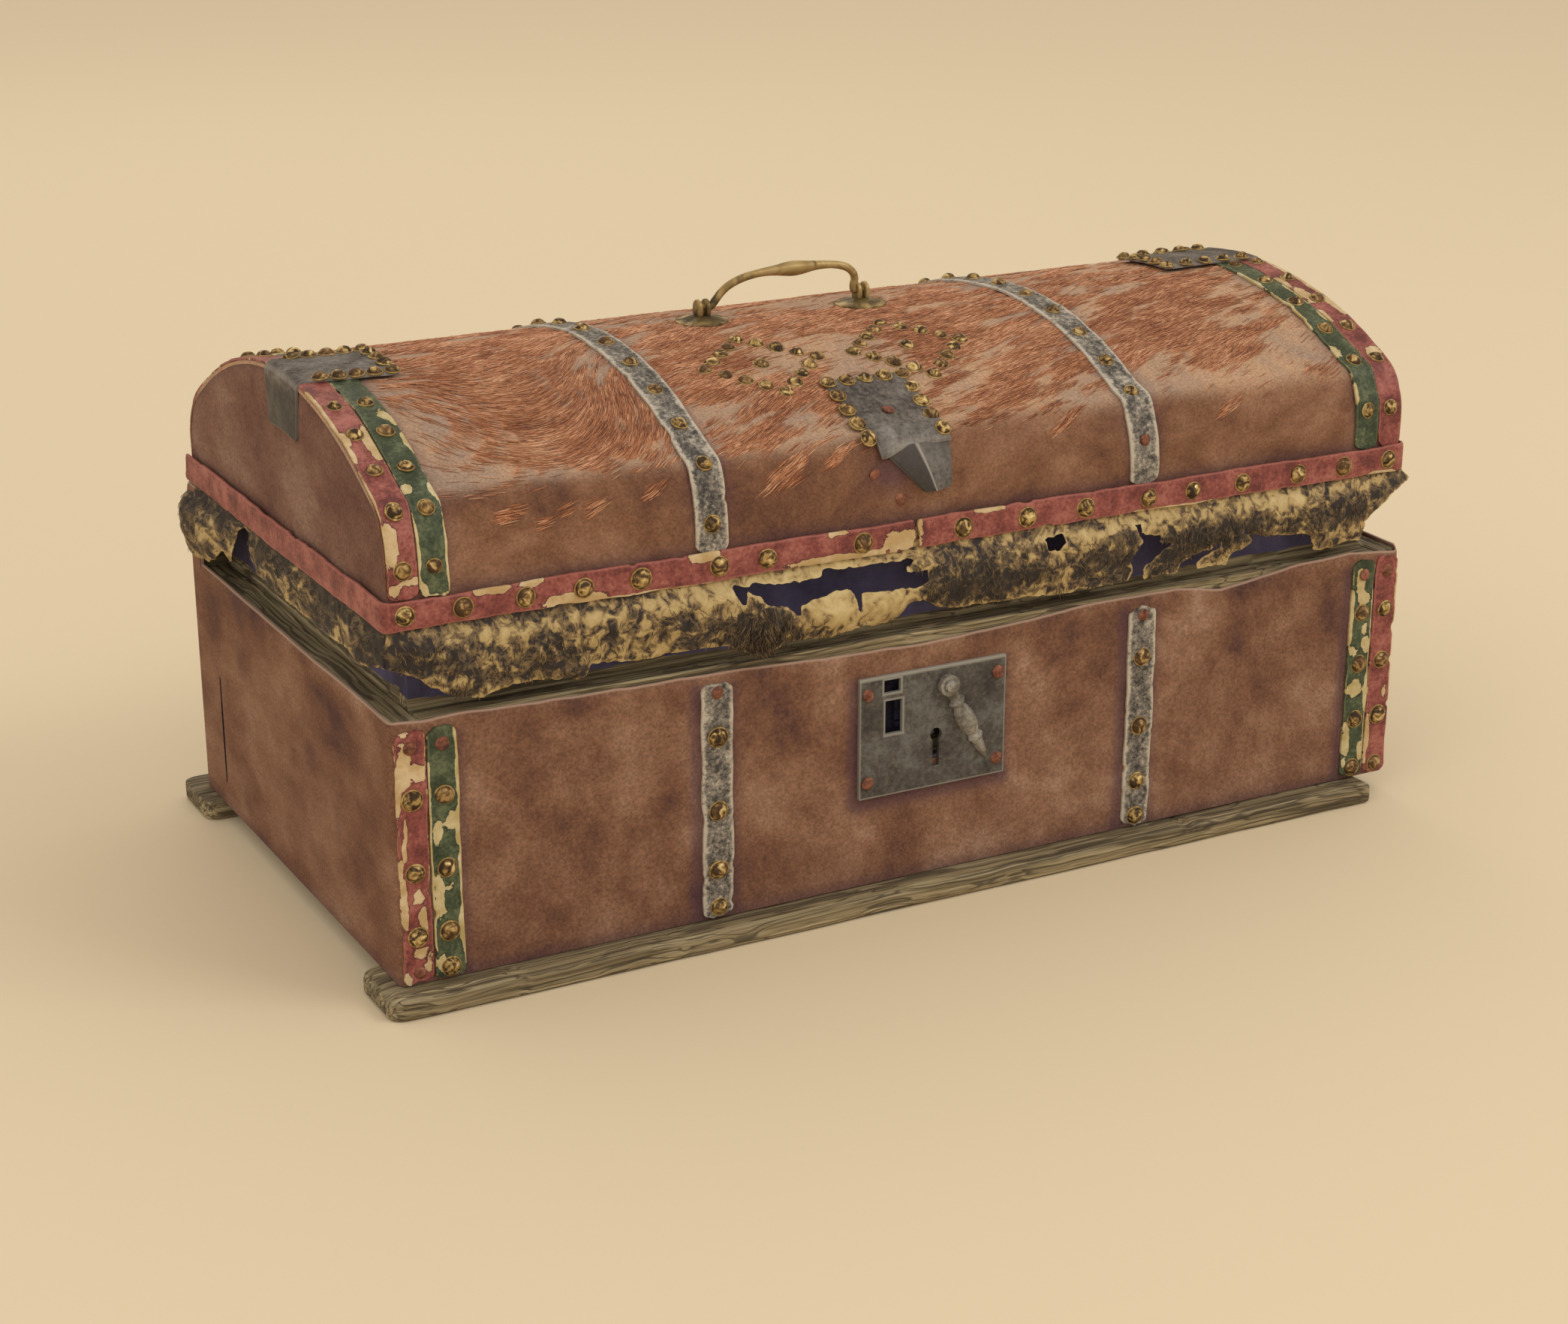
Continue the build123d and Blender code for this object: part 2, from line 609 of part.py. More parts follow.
# Front flap: a ragged strip with a long tear in the middle and holes at the right
flap_top_z = lid_z + flap_tuck
flap_low_z = lid_z - front_flap_drop
with BuildPart() as front_flap:
    with BuildSketch(Plane.XZ.offset(lid_half_depth)):
        ragged = []
        for step in range(rag_count + 1):
            wave = rag_short[0] * sin(step * rag_short[1]) + rag_long[0] * sin(step * rag_long[1])
            ragged.append((lid_half_length * (2 * step / rag_count - 1), flap_low_z + wave))
        with BuildLine():
            Polyline(ragged[0], (-lid_half_length, flap_top_z), (lid_half_length, flap_top_z), ragged[-1])
            Polyline(*ragged)
        make_face()
        with BuildLine():
            Polyline((lid_half_length, lid_z), (lid_half_length + corner_curl, lid_z - corner_curl),
                     (lid_half_length + corner_curl, flap_low_z + 2 * corner_curl),
                     (lid_half_length, flap_low_z + corner_curl), close=True)
        make_face()
        with BuildLine():
            Polyline(*[(x, lid_z - drop) for x, drop in tear], close=True)
        make_face(mode=Mode.SUBTRACT)
        for x, drop, long, high in flap_holes:
            with Locations((x, lid_z - drop)):
                Ellipse(long / 2, high / 2, mode=Mode.SUBTRACT)
    extrude(amount=flap_thick)
front_flap.part.label = "front_flap"
export_step(front_flap.part, "parts/front_flap.step")

# End flaps: narrow strips, with a wider tail at the back corner
flap_back_y = wall_y - tail_gap
for side, name in ((-1, "left"), (1, "right")):
    with BuildPart() as end_flap:
        with BuildSketch(Plane.YZ.offset(min(side * lid_half_length, side * (lid_half_length + flap_thick)))):
            low_z = lid_z - end_flap_drop
            with BuildLine():
                Polyline((-lid_half_depth, flap_top_z), (flap_back_y, flap_top_z),
                         (flap_back_y, lid_z - tail_drop + tail_tip_gap),
                         (flap_back_y - tail_wide / 2, lid_z - tail_drop), (flap_back_y - tail_wide, low_z),
                         (flap_back_y / 4, low_z + end_flap_wave), (-flap_back_y / 3, low_z - end_flap_wave),
                         (-lid_half_depth, low_z), close=True)
            make_face()
        extrude(amount=flap_thick)
    end_flap.part.label = f"{name}_flap"
    export_step(end_flap.part, f"parts/{name}_flap.step")

# Red band round the lid's lower edge, over the flaps' tops
band_front_y = -(lid_half_depth + flap_thick)
band_end_x = lid_half_length + flap_thick
with BuildPart() as lid_edge_band:
    with BuildSketch(Plane.XY.offset(lid_z)):
        with Locations((0, (band_front_y + lid_half_depth) / 2)):
            Rectangle(2 * (band_end_x + band_thick), lid_half_depth - band_front_y + 2 * band_thick)
            Rectangle(2 * band_end_x, lid_half_depth - band_front_y, mode=Mode.SUBTRACT)
    extrude(amount=edge_band_wide)
lid_edge_band.part.label = "lid_edge_band"
export_step(lid_edge_band.part, "parts/lid_edge_band.step")


def over_lid(thick):
    # Section of a strip over the lid, from the edge band at the front to the one at the back
    return lid_layer(edge_band_wide + lay, lid_over - edge_band_wide - lay, lay, lay + thick)


# Red and green bands over the lid's ends, and the two grey straps between them
for side, name in ((-1, "left"), (1, "right")):
    for colour, middle in (("red", lid_half_length - lid_band_wide / 2),
                           ("green", lid_half_length - 1.5 * lid_band_wide)):
        with BuildPart() as lid_band:
            with BuildSketch(Plane.YZ.offset(side * middle - lid_band_wide / 2)):
                add(over_lid(band_thick))
            extrude(amount=lid_band_wide)
        lid_band.part.label = f"{name}_{colour}_lid_band"
        export_step(lid_band.part, f"parts/{name}_{colour}_lid_band.step")

for middle, name in ((left_strap_x, "left"), (right_strap_x, "right")):
    with BuildPart() as lid_strap:
        with BuildSketch(Plane.YZ.offset(middle - strap_wide / 2)):
            add(over_lid(strap_thick))
        extrude(amount=strap_wide)
    lid_strap.part.label = f"{name}_lid_strap"
    export_step(lid_strap.part, f"parts/{name}_lid_strap.step")

# Irons over the crown at each end, bent down over the end hide
iron_starts = [crown_over + shift - crown_iron_wide / 2 for shift in crown_iron_shifts]
iron_ends = [start + crown_iron_wide for start in iron_starts]
iron_under = 2 * lay + band_thick
for side, name, reach, iron_start, iron_end in zip((-1, 1), ("left", "right"), crown_iron_reaches,
                                                   iron_starts, iron_ends):
    face_x = side * (lid_half_length + lay)
    with BuildPart() as crown_iron:
        with BuildSketch(Plane.YZ.offset(min(face_x, face_x - side * reach))):
            add(lid_layer(iron_start, iron_end, iron_under, iron_under + iron_thick))
        extrude(amount=reach)
        with BuildSketch(Plane.YZ.offset(min(face_x, face_x + side * iron_thick))):
            start_y = lid_spot(iron_start, iron_under)[0]
            end_y = lid_spot(iron_end, iron_under)[0]
            low_z = crown_z - crown_iron_drop
            high_z = crown_z + 2 * (iron_under + iron_thick)
            add(lid_outline(iron_under + iron_thick))
            with BuildLine():
                Polyline((start_y, high_z), (start_y + crown_iron_taper, low_z),
                         (end_y - crown_iron_taper, low_z), (end_y, high_z), close=True)
            make_face(mode=Mode.INTERSECT)
        extrude(amount=iron_thick)
    crown_iron.part.label = f"{name}_crown_iron"
    export_step(crown_iron.part, f"parts/{name}_crown_iron.step")

# Tongue of the hasp: a wedge that follows the hide underneath and narrows to its tip
tongue_tip = hasp_low - tongue_long
with BuildPart() as tongue:
    with BuildSketch(Plane.YZ.offset(hasp_x + tongue_root_shift - tongue_root_wide)):
        with BuildLine():
            lid_edge(tongue_tip, hasp_low, lay)
            Polyline(lid_spot(tongue_tip, lay)[:2], lid_spot(tongue_tip, lay + tongue_proud)[:2],
                     lid_spot(hasp_low, lay + hasp_thick)[:2], lid_spot(hasp_low, lay)[:2])
        make_face()
    extrude(amount=2 * tongue_root_wide)
    root_z = lid_spot(hasp_low)[1]
    root_x = hasp_x + tongue_root_shift
    tip_x = hasp_x + tongue_tip_shift
    tip_z = lid_spot(tongue_tip)[1]
    half_root = tongue_root_wide / 2
    half_tip = tongue_tip_wide / 2
    top_z = root_z + hasp_thick
    with BuildSketch(Plane.XZ):
        with BuildLine():
            Polyline((root_x - half_root, top_z), (tip_x - half_tip, tip_z), (tip_x + half_tip, tip_z),
                     (root_x + half_root, top_z), close=True)
        make_face()
    extrude(amount=body_depth, mode=Mode.INTERSECT)

# Hasp plate on the front of the lid, with its tongue below the bend
with BuildPart() as hasp_plate:
    with BuildSketch(Plane.YZ.offset(hasp_x - hasp_wide / 2)):
        add(lid_layer(hasp_low, hasp_high, lay, lay + hasp_thick))
    extrude(amount=hasp_wide)
    add(tongue.part)
hasp_plate.part.label = "hasp_plate"
export_step(hasp_plate.part, "parts/hasp_plate.step")

# Handle roses, each with a post and an eye, on the crown
pivot_z = crown_z + eye_lift
with BuildPart() as handle_posts:
    for side in (-1, 1):
        x = handle_x + side * handle_span / 2
        with BuildSketch(Plane.XZ.offset(-crown_shift)):
            with BuildLine():
                Polyline((x, crown_z), (x + rose_radius, crown_z), (x + rose_radius, crown_z + rose_rim_high))
                RadiusArc((x + rose_radius, crown_z + rose_rim_high), (x + post_radius, crown_z + rose_high),
                          -rose_radius)
                Polyline((x + post_radius, crown_z + rose_high), (x + post_radius, pivot_z), (x, pivot_z),
                         (x, crown_z))
            make_face()
        revolve(axis=Axis((x, crown_shift, crown_z), (0, 0, 1)))
        with Locations((x, crown_shift, pivot_z)):
            Sphere(eye_radius)
        with Locations(Plane(origin=(x, crown_shift, pivot_z), z_dir=(1, 0, 0))):
            Cylinder(bail_radius + bail_fit, 3 * eye_radius, mode=Mode.SUBTRACT)
handle_posts.part.label = "handle_posts"
export_step(handle_posts.part, "parts/handle_posts.step")

# Bail: a bent rod with a swollen grip, its ends through the eyes and knobbed outside them
eye_in = handle_span / 2 - eye_radius - bail_foot_gap
foot_x = eye_in - bail_turn / 2
grip_x = foot_x - bail_slope
end_x = handle_span / 2 + eye_radius + bail_end_out
bail_plane = Plane(origin=(handle_x, crown_shift, pivot_z), x_dir=(1, 0, 0), z_dir=(0, -1, 0))
with BuildPart() as handle_bail:
    with BuildLine(bail_plane) as bail_path:
        FilletPolyline((-end_x, 0), (-foot_x, 0), (-grip_x, bail_rise), (grip_x, bail_rise), (foot_x, 0),
                       (end_x, 0), radius=bail_turn)
    with BuildSketch(Plane(origin=bail_path.line @ 0, z_dir=bail_path.line % 0)):
        Circle(bail_radius)
    sweep()
    with BuildSketch(bail_plane):
        with BuildLine():
            Line((-grip_x, bail_rise), (grip_x, bail_rise))
            ThreePointArc((-grip_x, bail_rise), (0, bail_rise + grip_radius), (grip_x, bail_rise))
        make_face()
    grip_axis_at = bail_plane.from_local_coords(Vector(0, bail_rise, 0))
    revolve(axis=Axis(grip_axis_at, (1, 0, 0)))
    for side in (-1, 1):
        with Locations(Plane(origin=(handle_x + side * end_x, crown_shift, pivot_z), z_dir=(1, 0, 0))):
            Cylinder(bail_knob_radius, bail_knob_long)
handle_bail.part.label = "handle_bail"
export_step(handle_bail.part, "parts/handle_bail.step")

# Hinges: leaves on the back board and on the lid's back, turning on pins at the joint
hinge_y = half_depth + hinge_knuckle_radius + hinge_gap
hinge_z = (lid_z + seat_z) / 2
lid_leaf_y = lid_half_depth + band_thick
clear = hinge_knuckle_radius + hinge_gap
side_wide = (hinge_wide - hinge_middle_wide) / 2 - hinge_gap
with BuildPart() as hinge_body_leaves:
    for hinge in (-hinge_x, hinge_x):
        block((hinge - hinge_wide / 2, half_depth, hinge_z - hinge_leaf_down),
              (hinge + hinge_wide / 2, half_depth + hinge_thick, hinge_z - clear))
        for side in (-1, 1):
            middle = hinge + side * (hinge_wide - side_wide) / 2
            block((middle - side_wide / 2, half_depth, hinge_z - clear),
                  (middle + side_wide / 2, hinge_y, hinge_z - clear + hinge_thick))
            with Locations(Plane(origin=(middle, hinge_y, hinge_z), z_dir=(1, 0, 0))):
                Cylinder(hinge_knuckle_radius, side_wide)
    for hinge in (-hinge_x, hinge_x):
        with Locations(Plane(origin=(hinge, hinge_y, hinge_z), z_dir=(1, 0, 0))):
            Cylinder(hinge_pin_radius, 2 * hinge_wide, mode=Mode.SUBTRACT)
hinge_body_leaves.part.label = "hinge_body_leaves"
export_step(hinge_body_leaves.part, "parts/hinge_body_leaves.step")

with BuildPart() as hinge_lid_leaves:
    for hinge in (-hinge_x, hinge_x):
        block((hinge - hinge_wide / 2, lid_leaf_y, hinge_z + clear),
              (hinge + hinge_wide / 2, lid_leaf_y + hinge_thick, hinge_z + clear + hinge_leaf_up))
        block((hinge - hinge_middle_wide / 2, lid_leaf_y, hinge_z + clear - hinge_thick),
              (hinge + hinge_middle_wide / 2, hinge_y, hinge_z + clear))
        with Locations(Plane(origin=(hinge, hinge_y, hinge_z), z_dir=(1, 0, 0))):
            Cylinder(hinge_knuckle_radius, hinge_middle_wide)
            Cylinder(hinge_pin_radius + hinge_pin_fit, hinge_wide, mode=Mode.SUBTRACT)
hinge_lid_leaves.part.label = "hinge_lid_leaves"
export_step(hinge_lid_leaves.part, "parts/hinge_lid_leaves.step")

with BuildPart() as hinge_pins:
    for hinge in (-hinge_x, hinge_x):
        with Locations(Plane(origin=(hinge, hinge_y, hinge_z), z_dir=(1, 0, 0))):
            Cylinder(hinge_pin_radius, hinge_wide)
        for side in (-1, 1):
            at = hinge + side * (hinge_wide + hinge_head_long) / 2
            with Locations(Plane(origin=(at, hinge_y, hinge_z), z_dir=(1, 0, 0))):
                Cylinder(hinge_head_radius, hinge_head_long)
hinge_pins.part.label = "hinge_pins"
export_step(hinge_pins.part, "parts/hinge_pins.step")


def front_place(x, z, lift):
    # A plane lying on the front, lifted off the body hide
    return Plane(origin=(x, -half_depth - lift, z), x_dir=(1, 0, 0), z_dir=(0, -1, 0))


def lid_place(x, over, lift):
    # A plane lying on the lid at a distance over its hide
    y, z, ny, nz = lid_spot(over, lift)
    return Plane(origin=(x, y, z), x_dir=(1, 0, 0), z_dir=(0, ny, nz))


def heads(places, radius, high):
    # One low domed head on each plane
    with BuildPart(mode=Mode.PRIVATE) as head:
        with BuildSketch():
            RegularPolygon(radius, fastener_sides)
        with BuildSketch(Plane.XY.offset(high)):
            RegularPolygon(radius * head_flat, fastener_sides)
        loft()
    return Compound(children=[head.part.moved(place.location) for place in places])


# Rows of tacks along the edge band
edge_lift = lid_inset - flap_thick - band_thick
edge_tack_places = []
for share in edge_tack_shares:
    edge_tack_places.append(front_place(share * lid_half_length, lid_z + edge_band_wide / 2, -edge_lift))
back_tack_half = int((lid_half_length - tack_edge_inset) / back_tack_pitch)
for step in range(-back_tack_half, back_tack_half + 1):
    x = step * back_tack_pitch
    if abs(abs(x) - hinge_x) > hinge_wide / 2 + tack_radius:
        edge_tack_places.append(lid_place(x, lid_over - edge_band_wide / 2, band_thick))

# Rows up the bands, in front of the crown irons and behind them
band_lift = lay + band_thick
small_tack_places = []
for (side, first, pitch), iron_start, iron_end in zip(band_tack_rows, iron_starts, iron_ends):
    for lane_x in (lid_half_length - lid_band_wide / 2, lid_half_length - 1.5 * lid_band_wide):
        over = edge_band_wide + first
        while over < iron_start - small_tack_radius:
            small_tack_places.append(lid_place(side * lane_x, over, band_lift))
            over += pitch
        over = lid_over - edge_band_wide - first
        while over > iron_end + small_tack_radius:
            small_tack_places.append(lid_place(side * lane_x, over, band_lift))
            over -= pitch

# Rows along the straps
strap_lift = lay + strap_thick
for lane_x, (first, pitch) in ((left_strap_x, left_strap_tacks), (right_strap_x, right_strap_tacks)):
    over = edge_band_wide + first
    while over < lid_over - edge_band_wide - tack_radius:
        small_tack_places.append(lid_place(lane_x, over, strap_lift))
        over += pitch

# Tacks along three sides of each crown iron; the fourth is bent down
iron_lift = iron_under + iron_thick
iron_steps = [step / (iron_tack_count - 1) for step in range(iron_tack_count)]
for side, reach, iron_start in zip((-1, 1), crown_iron_reaches, iron_starts):
    inner_x = lid_half_length - reach + iron_tack_inset
    row_long = lid_half_length - iron_tack_end - inner_x
    column_long = crown_iron_wide - 2 * iron_tack_inset
    for along in iron_steps:
        for across in iron_steps:
            if along == 0 or across in (0, 1):
                x = side * (inner_x + along * row_long)
                over = iron_start + iron_tack_inset + across * column_long
                small_tack_places.append(lid_place(x, over, iron_lift))

# Tacks on the hasp plate: along the top and down both sides
hasp_lift = lay + hasp_thick
hasp_edge = hasp_wide / 2 - iron_tack_inset
hasp_top = hasp_high - iron_tack_inset
for step in range(hasp_top_count):
    x = hasp_x + hasp_edge * (2 * step / (hasp_top_count - 1) - 1)
    small_tack_places.append(lid_place(x, hasp_top, hasp_lift))
for step in range(1, hasp_side_count + 1):
    for side in (-1, 1):
        over = hasp_top - step * hasp_tack_pitch
        small_tack_places.append(lid_place(hasp_x + side * hasp_edge, over, hasp_lift))

# Two diamonds of tacks above the hasp, each with a tack in the middle
corners = ((1, 0), (0, 1), (-1, 0), (0, -1), (1, 0))
for centre_x in (diamond_x - diamond_gap / 2, diamond_x + diamond_gap / 2):
    small_tack_places.append(lid_place(centre_x, diamond_over, 0))
    for first, second in zip(corners, corners[1:]):
        for step in range(diamond_side_count):
            share = step / diamond_side_count
            x = centre_x + diamond_half_wide * (first[0] + share * (second[0] - first[0]))
            over = diamond_over + diamond_half_long * (first[1] + share * (second[1] - first[1]))
            small_tack_places.append(lid_place(x, over, 0))

with BuildPart() as lid_tacks:
    add(heads(edge_tack_places, tack_radius, tack_high))
    add(heads(small_tack_places, small_tack_radius, small_tack_high))
lid_tacks.part.label = "lid_tacks"
export_step(lid_tacks.part, "parts/lid_tacks.step")

# Nails in the lid: the hasp's rivet, one in the right strap, and two bent nails below the plate
lid_nail_places = [lid_place(hasp_x, (hasp_low + hasp_high) / 2, hasp_lift),
                   lid_place(right_strap_x, edge_band_wide + right_strap_nail, strap_lift)]
for shift, over in loose_nails:
    lid_nail_places.append(lid_place(hasp_x + shift, hasp_low + over, 0))
with BuildPart() as lid_nails:
    add(heads(lid_nail_places, nail_radius, nail_high))
lid_nails.part.label = "lid_nails"
export_step(lid_nails.part, "parts/lid_nails.step")

# Tacks and nails on the body: the top of each strip is nailed, and so is the foot of the left red one
body_tack_places = []
body_nail_places = []
body_lanes = ((-red_corner_x, left_body_tacks), (-green_corner_x, left_body_tacks),
              (green_corner_x, right_body_tacks), (red_corner_x, right_body_tacks),
              (left_strap_x, strap_body_tacks), (right_strap_x, strap_body_tacks))
for lane_x, shares in body_lanes:
    for share in shares:
        body_tack_places.append(front_place(lane_x, foot_z + share * wall_height, band_thick))
    lowest = front_place(lane_x, foot_z + body_tack_low, band_thick)
    if lane_x == -red_corner_x:
        body_nail_places.append(lowest)
    else:
        body_tack_places.append(lowest)
    body_nail_places.append(front_place(lane_x, rim_z - 2 * corner_band_drop - nail_radius, band_thick))

with BuildPart() as body_tacks:
    add(heads(body_tack_places, tack_radius, tack_high))
body_tacks.part.label = "body_tacks"
export_step(body_tacks.part, "parts/body_tacks.step")

# Nails at the lock plate's corners
nail_x = plate_wide / 2 - plate_nail_inset[0]
nail_z = plate_high / 2 - plate_nail_inset[1]
for side in (-1, 1):
    for level in (-1, 1):
        body_nail_places.append(front_place(lock_x + side * nail_x, lock_z + level * nail_z, plate_thick))
with BuildPart() as body_nails:
    add(heads(body_nail_places, nail_radius, nail_high))
body_nails.part.label = "body_nails"
export_step(body_nails.part, "parts/body_nails.step")
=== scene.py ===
import math
import bmesh
import bpy
import numpy as np
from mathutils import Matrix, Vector


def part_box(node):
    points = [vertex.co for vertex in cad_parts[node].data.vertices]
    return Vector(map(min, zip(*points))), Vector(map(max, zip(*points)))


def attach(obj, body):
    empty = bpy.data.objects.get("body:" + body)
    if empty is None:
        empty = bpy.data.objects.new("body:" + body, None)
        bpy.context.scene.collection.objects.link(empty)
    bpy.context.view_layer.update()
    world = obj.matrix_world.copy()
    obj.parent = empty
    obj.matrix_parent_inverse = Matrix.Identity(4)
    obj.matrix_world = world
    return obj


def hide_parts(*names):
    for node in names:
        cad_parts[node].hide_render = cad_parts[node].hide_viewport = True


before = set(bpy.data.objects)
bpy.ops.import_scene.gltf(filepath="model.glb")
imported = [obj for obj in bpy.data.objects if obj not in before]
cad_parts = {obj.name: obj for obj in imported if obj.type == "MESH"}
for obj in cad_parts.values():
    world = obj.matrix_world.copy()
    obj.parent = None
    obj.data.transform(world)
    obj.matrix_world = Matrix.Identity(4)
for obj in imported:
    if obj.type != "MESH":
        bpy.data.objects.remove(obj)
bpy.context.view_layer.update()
mm = 0.001
print("frame loaded,", len(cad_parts), "nodes")


# Numbers and shapes that several pieces share

def smoothNoise(x, y, size, seed):
    # value noise, -1 to 1: random heights on a square lattice, blended with a smooth cubic
    table = np.random.default_rng(seed).uniform(-1, 1, (64, 64))
    u, v = np.broadcast_arrays(np.asarray(x) / size, np.asarray(y) / size)
    i, j = np.floor(u).astype(int), np.floor(v).astype(int)
    f, g = u - i, v - j
    f, g = f * f * (3 - 2 * f), g * g * (3 - 2 * g)
    low = table[i % 64, j % 64] * (1 - f) + table[(i + 1) % 64, j % 64] * f
    high = table[i % 64, (j + 1) % 64] * (1 - f) + table[(i + 1) % 64, (j + 1) % 64] * f
    return low * (1 - g) + high * g


def clouds(x, y, size, seed):
    # sum of three noises, each half as large and half as strong as the one before
    return sum(smoothNoise(x, y, size / 2 ** k, seed + k) / 2 ** k for k in range(3)) / 1.75


def waves(x, size, seed):
    # clouds that change along one direction only
    return clouds(x, 0 * x, size, seed)


def bump(x, centre, width):
    # bell curve: e to the minus squared distance
    return np.exp(-((x - centre) / width) ** 2)


def bells(x, y, table):
    # sum of bells; a row gives the middle's x and y and both half widths in millimetres, and the height
    return sum(high * bump(x, px * mm, wide * mm) * bump(y, py * mm, tall * mm)
               for px, py, wide, tall, high in table)


def fade(x, low, high):
    # smooth step from 0 at low to 1 at high
    t = np.clip((x - low) / (high - low), 0, 1)
    return t * t * (3 - 2 * t)


def quarterDrop(share, full=0.98):
    # a quarter circle's drop: nothing at 0, the whole radius at 1
    return 1 - np.sqrt(1 - full * np.clip(share, 0, 1) ** 2)


def follow(x, table):
    # straight lines between a table's pairs, given in millimetres
    places = np.array(table) * mm
    return np.interp(x, places[:, 0], places[:, 1])


def grid(u, v):
    # u down the rows and v across the columns, each as a full grid
    return np.broadcast_arrays(np.asarray(u)[:, None], np.asarray(v)[None, :])


def unit(vectors):
    # each vector over its own length
    return vectors / np.linalg.norm(vectors, axis=-1, keepdims=True)


def camel(nodeName):
    # the piece's name, from a node's name
    first, *rest = nodeName.split("_")
    return first + "".join(word.title() for word in rest)


def addPiece(name, mesh, finish, body, replaces, sharp):
    # an object for the mesh, with its finish, the body that it rides on and the nodes that it stands for
    mesh.materials.append(finishes[finish])
    mesh.polygons.foreach_set("use_smooth", np.ones(len(mesh.polygons), bool))
    mesh.set_sharp_from_angle(angle=math.radians(sharp))
    piece = bpy.data.objects.new(name, mesh)
    bpy.context.scene.collection.objects.link(piece)
    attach(piece, body)
    if replaces:
        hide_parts(*replaces)
    return piece


def makePiece(name, points, faces, finish, body, replaces=(), marks=None, sharp=50):
    # points is an (n, 3) array, faces a list of index arrays, each with its own number of corners
    faces = [f for f in faces if len(f)]
    used, flat = np.unique(np.concatenate([f.ravel() for f in faces]), return_inverse=True)
    points = np.ascontiguousarray(points[used], np.float32)
    sizes = np.concatenate([np.full(len(f), f.shape[1]) for f in faces])
    starts = np.concatenate([[0], np.cumsum(sizes)[:-1]])
    first, second, third = (points[flat[starts + k]] for k in range(3))
    fourth = points[flat[starts + np.minimum(sizes - 1, 3)]]
    volume = np.einsum("ij,ij->", first, np.cross(second, third) + np.cross(third, fourth))
    if volume < 0:  # turned inside out: walk every face the other way
        flat = np.concatenate([flat[s:s + n][::-1] for s, n in zip(starts, sizes)])
    mesh = bpy.data.meshes.new(name)
    mesh.vertices.add(len(points))
    mesh.vertices.foreach_set("co", points.ravel())
    mesh.loops.add(len(flat))
    mesh.loops.foreach_set("vertex_index", flat.astype(np.int32))
    mesh.polygons.add(len(sizes))
    mesh.polygons.foreach_set("loop_start", starts.astype(np.int32))
    mesh.update(calc_edges=True)
    mesh.validate()
    for label, values in (marks or {}).items():
        layer = mesh.attributes.new(label, "FLOAT", "POINT")
        layer.data.foreach_set("value", np.asarray(values, np.float32).ravel()[used])
    return addPiece(name, mesh, finish, body, replaces, sharp)


def skinFaces(rows, cols, keep=None, wrap=False):
    # a closed skin between two grids: both faces of each kept cell, and a wall where a kept cell ends
    cells = rows if wrap else rows - 1
    keep = np.ones((cells, cols - 1), bool) if keep is None else keep
    i, j = np.nonzero(keep)
    n = (i + 1) % rows
    quad = np.stack([i * cols + j, n * cols + j, n * cols + j + 1, i * cols + j + 1], 1)
    around = np.zeros((cells + 2, cols + 1), bool)
    around[1:-1, 1:-1] = keep
    if wrap:
        around[0, 1:-1], around[-1, 1:-1] = keep[-1], keep[0]
    far = rows * cols
    faces = [quad, quad[:, ::-1] + far]
    for side, (di, dj) in enumerate(((0, -1), (1, 0), (0, 1), (-1, 0))):
        ends = ~around[i + 1 + di, j + 1 + dj]
        a, b = quad[ends, side], quad[ends, (side + 1) % 4]
        faces.append(np.stack([b, a, a + far, b + far], 1))
    return faces


def skinPiece(name, outer, inner, finish, body, replaces, marks, sharp=50, keep=None, wrap=False):
    # outer and inner are grids of points, (rows, columns, 3)
    shape = outer.shape[:2]
    points = np.concatenate([outer.reshape(-1, 3), inner.reshape(-1, 3)])
    doubled = {k: np.tile(np.broadcast_to(v, shape).ravel(), 2) for k, v in marks.items()}
    return makePiece(name, points, skinFaces(*shape, keep, wrap), finish, body, replaces, doubled, sharp)


def tubeFaces(stations, around):
    # quads round a tube, and a fan at each end; the fans' middles are the two points after the tube's own
    i, j = np.meshgrid(np.arange(stations - 1), np.arange(around), indexing="ij")
    n = (j + 1) % around
    quads = np.stack([i * around + j, i * around + n, (i + 1) * around + n, (i + 1) * around + j], -1)
    a = np.arange(around)
    b, last, middle = (a + 1) % around, (stations - 1) * around, 0 * a + stations * around
    return [quads.reshape(-1, 4), np.stack([b, a, middle], 1), np.stack([a + last, b + last, middle + 1], 1)]


def turnedPiece(name, rings, finish, body, replaces, marksAt=None, sharp=40):
    # rings is a list of (stations, around, 3) arrays: each is a tube, closed by a fan at both ends
    points, faces, start = [], [], 0
    for ring in rings:
        faces += [part + start for part in tubeFaces(*ring.shape[:2])]
        points += [ring.reshape(-1, 3), ring[0].mean(0)[None], ring[-1].mean(0)[None]]
        start += ring.shape[0] * ring.shape[1] + 2
    points = np.concatenate(points)
    marks = marksAt(points) if marksAt else None
    return makePiece(name, points, faces, finish, body, replaces, marks, sharp)


def repeatFaces(parts, count, size):
    # the faces of one shape, once more for each of count copies of size points
    shift = (np.arange(count) * size)[:, None, None]
    return [(np.array(part)[None] + shift).reshape(-1, np.shape(part)[1]) for part in parts]


# The lid's section, worked out from its hide in the frame

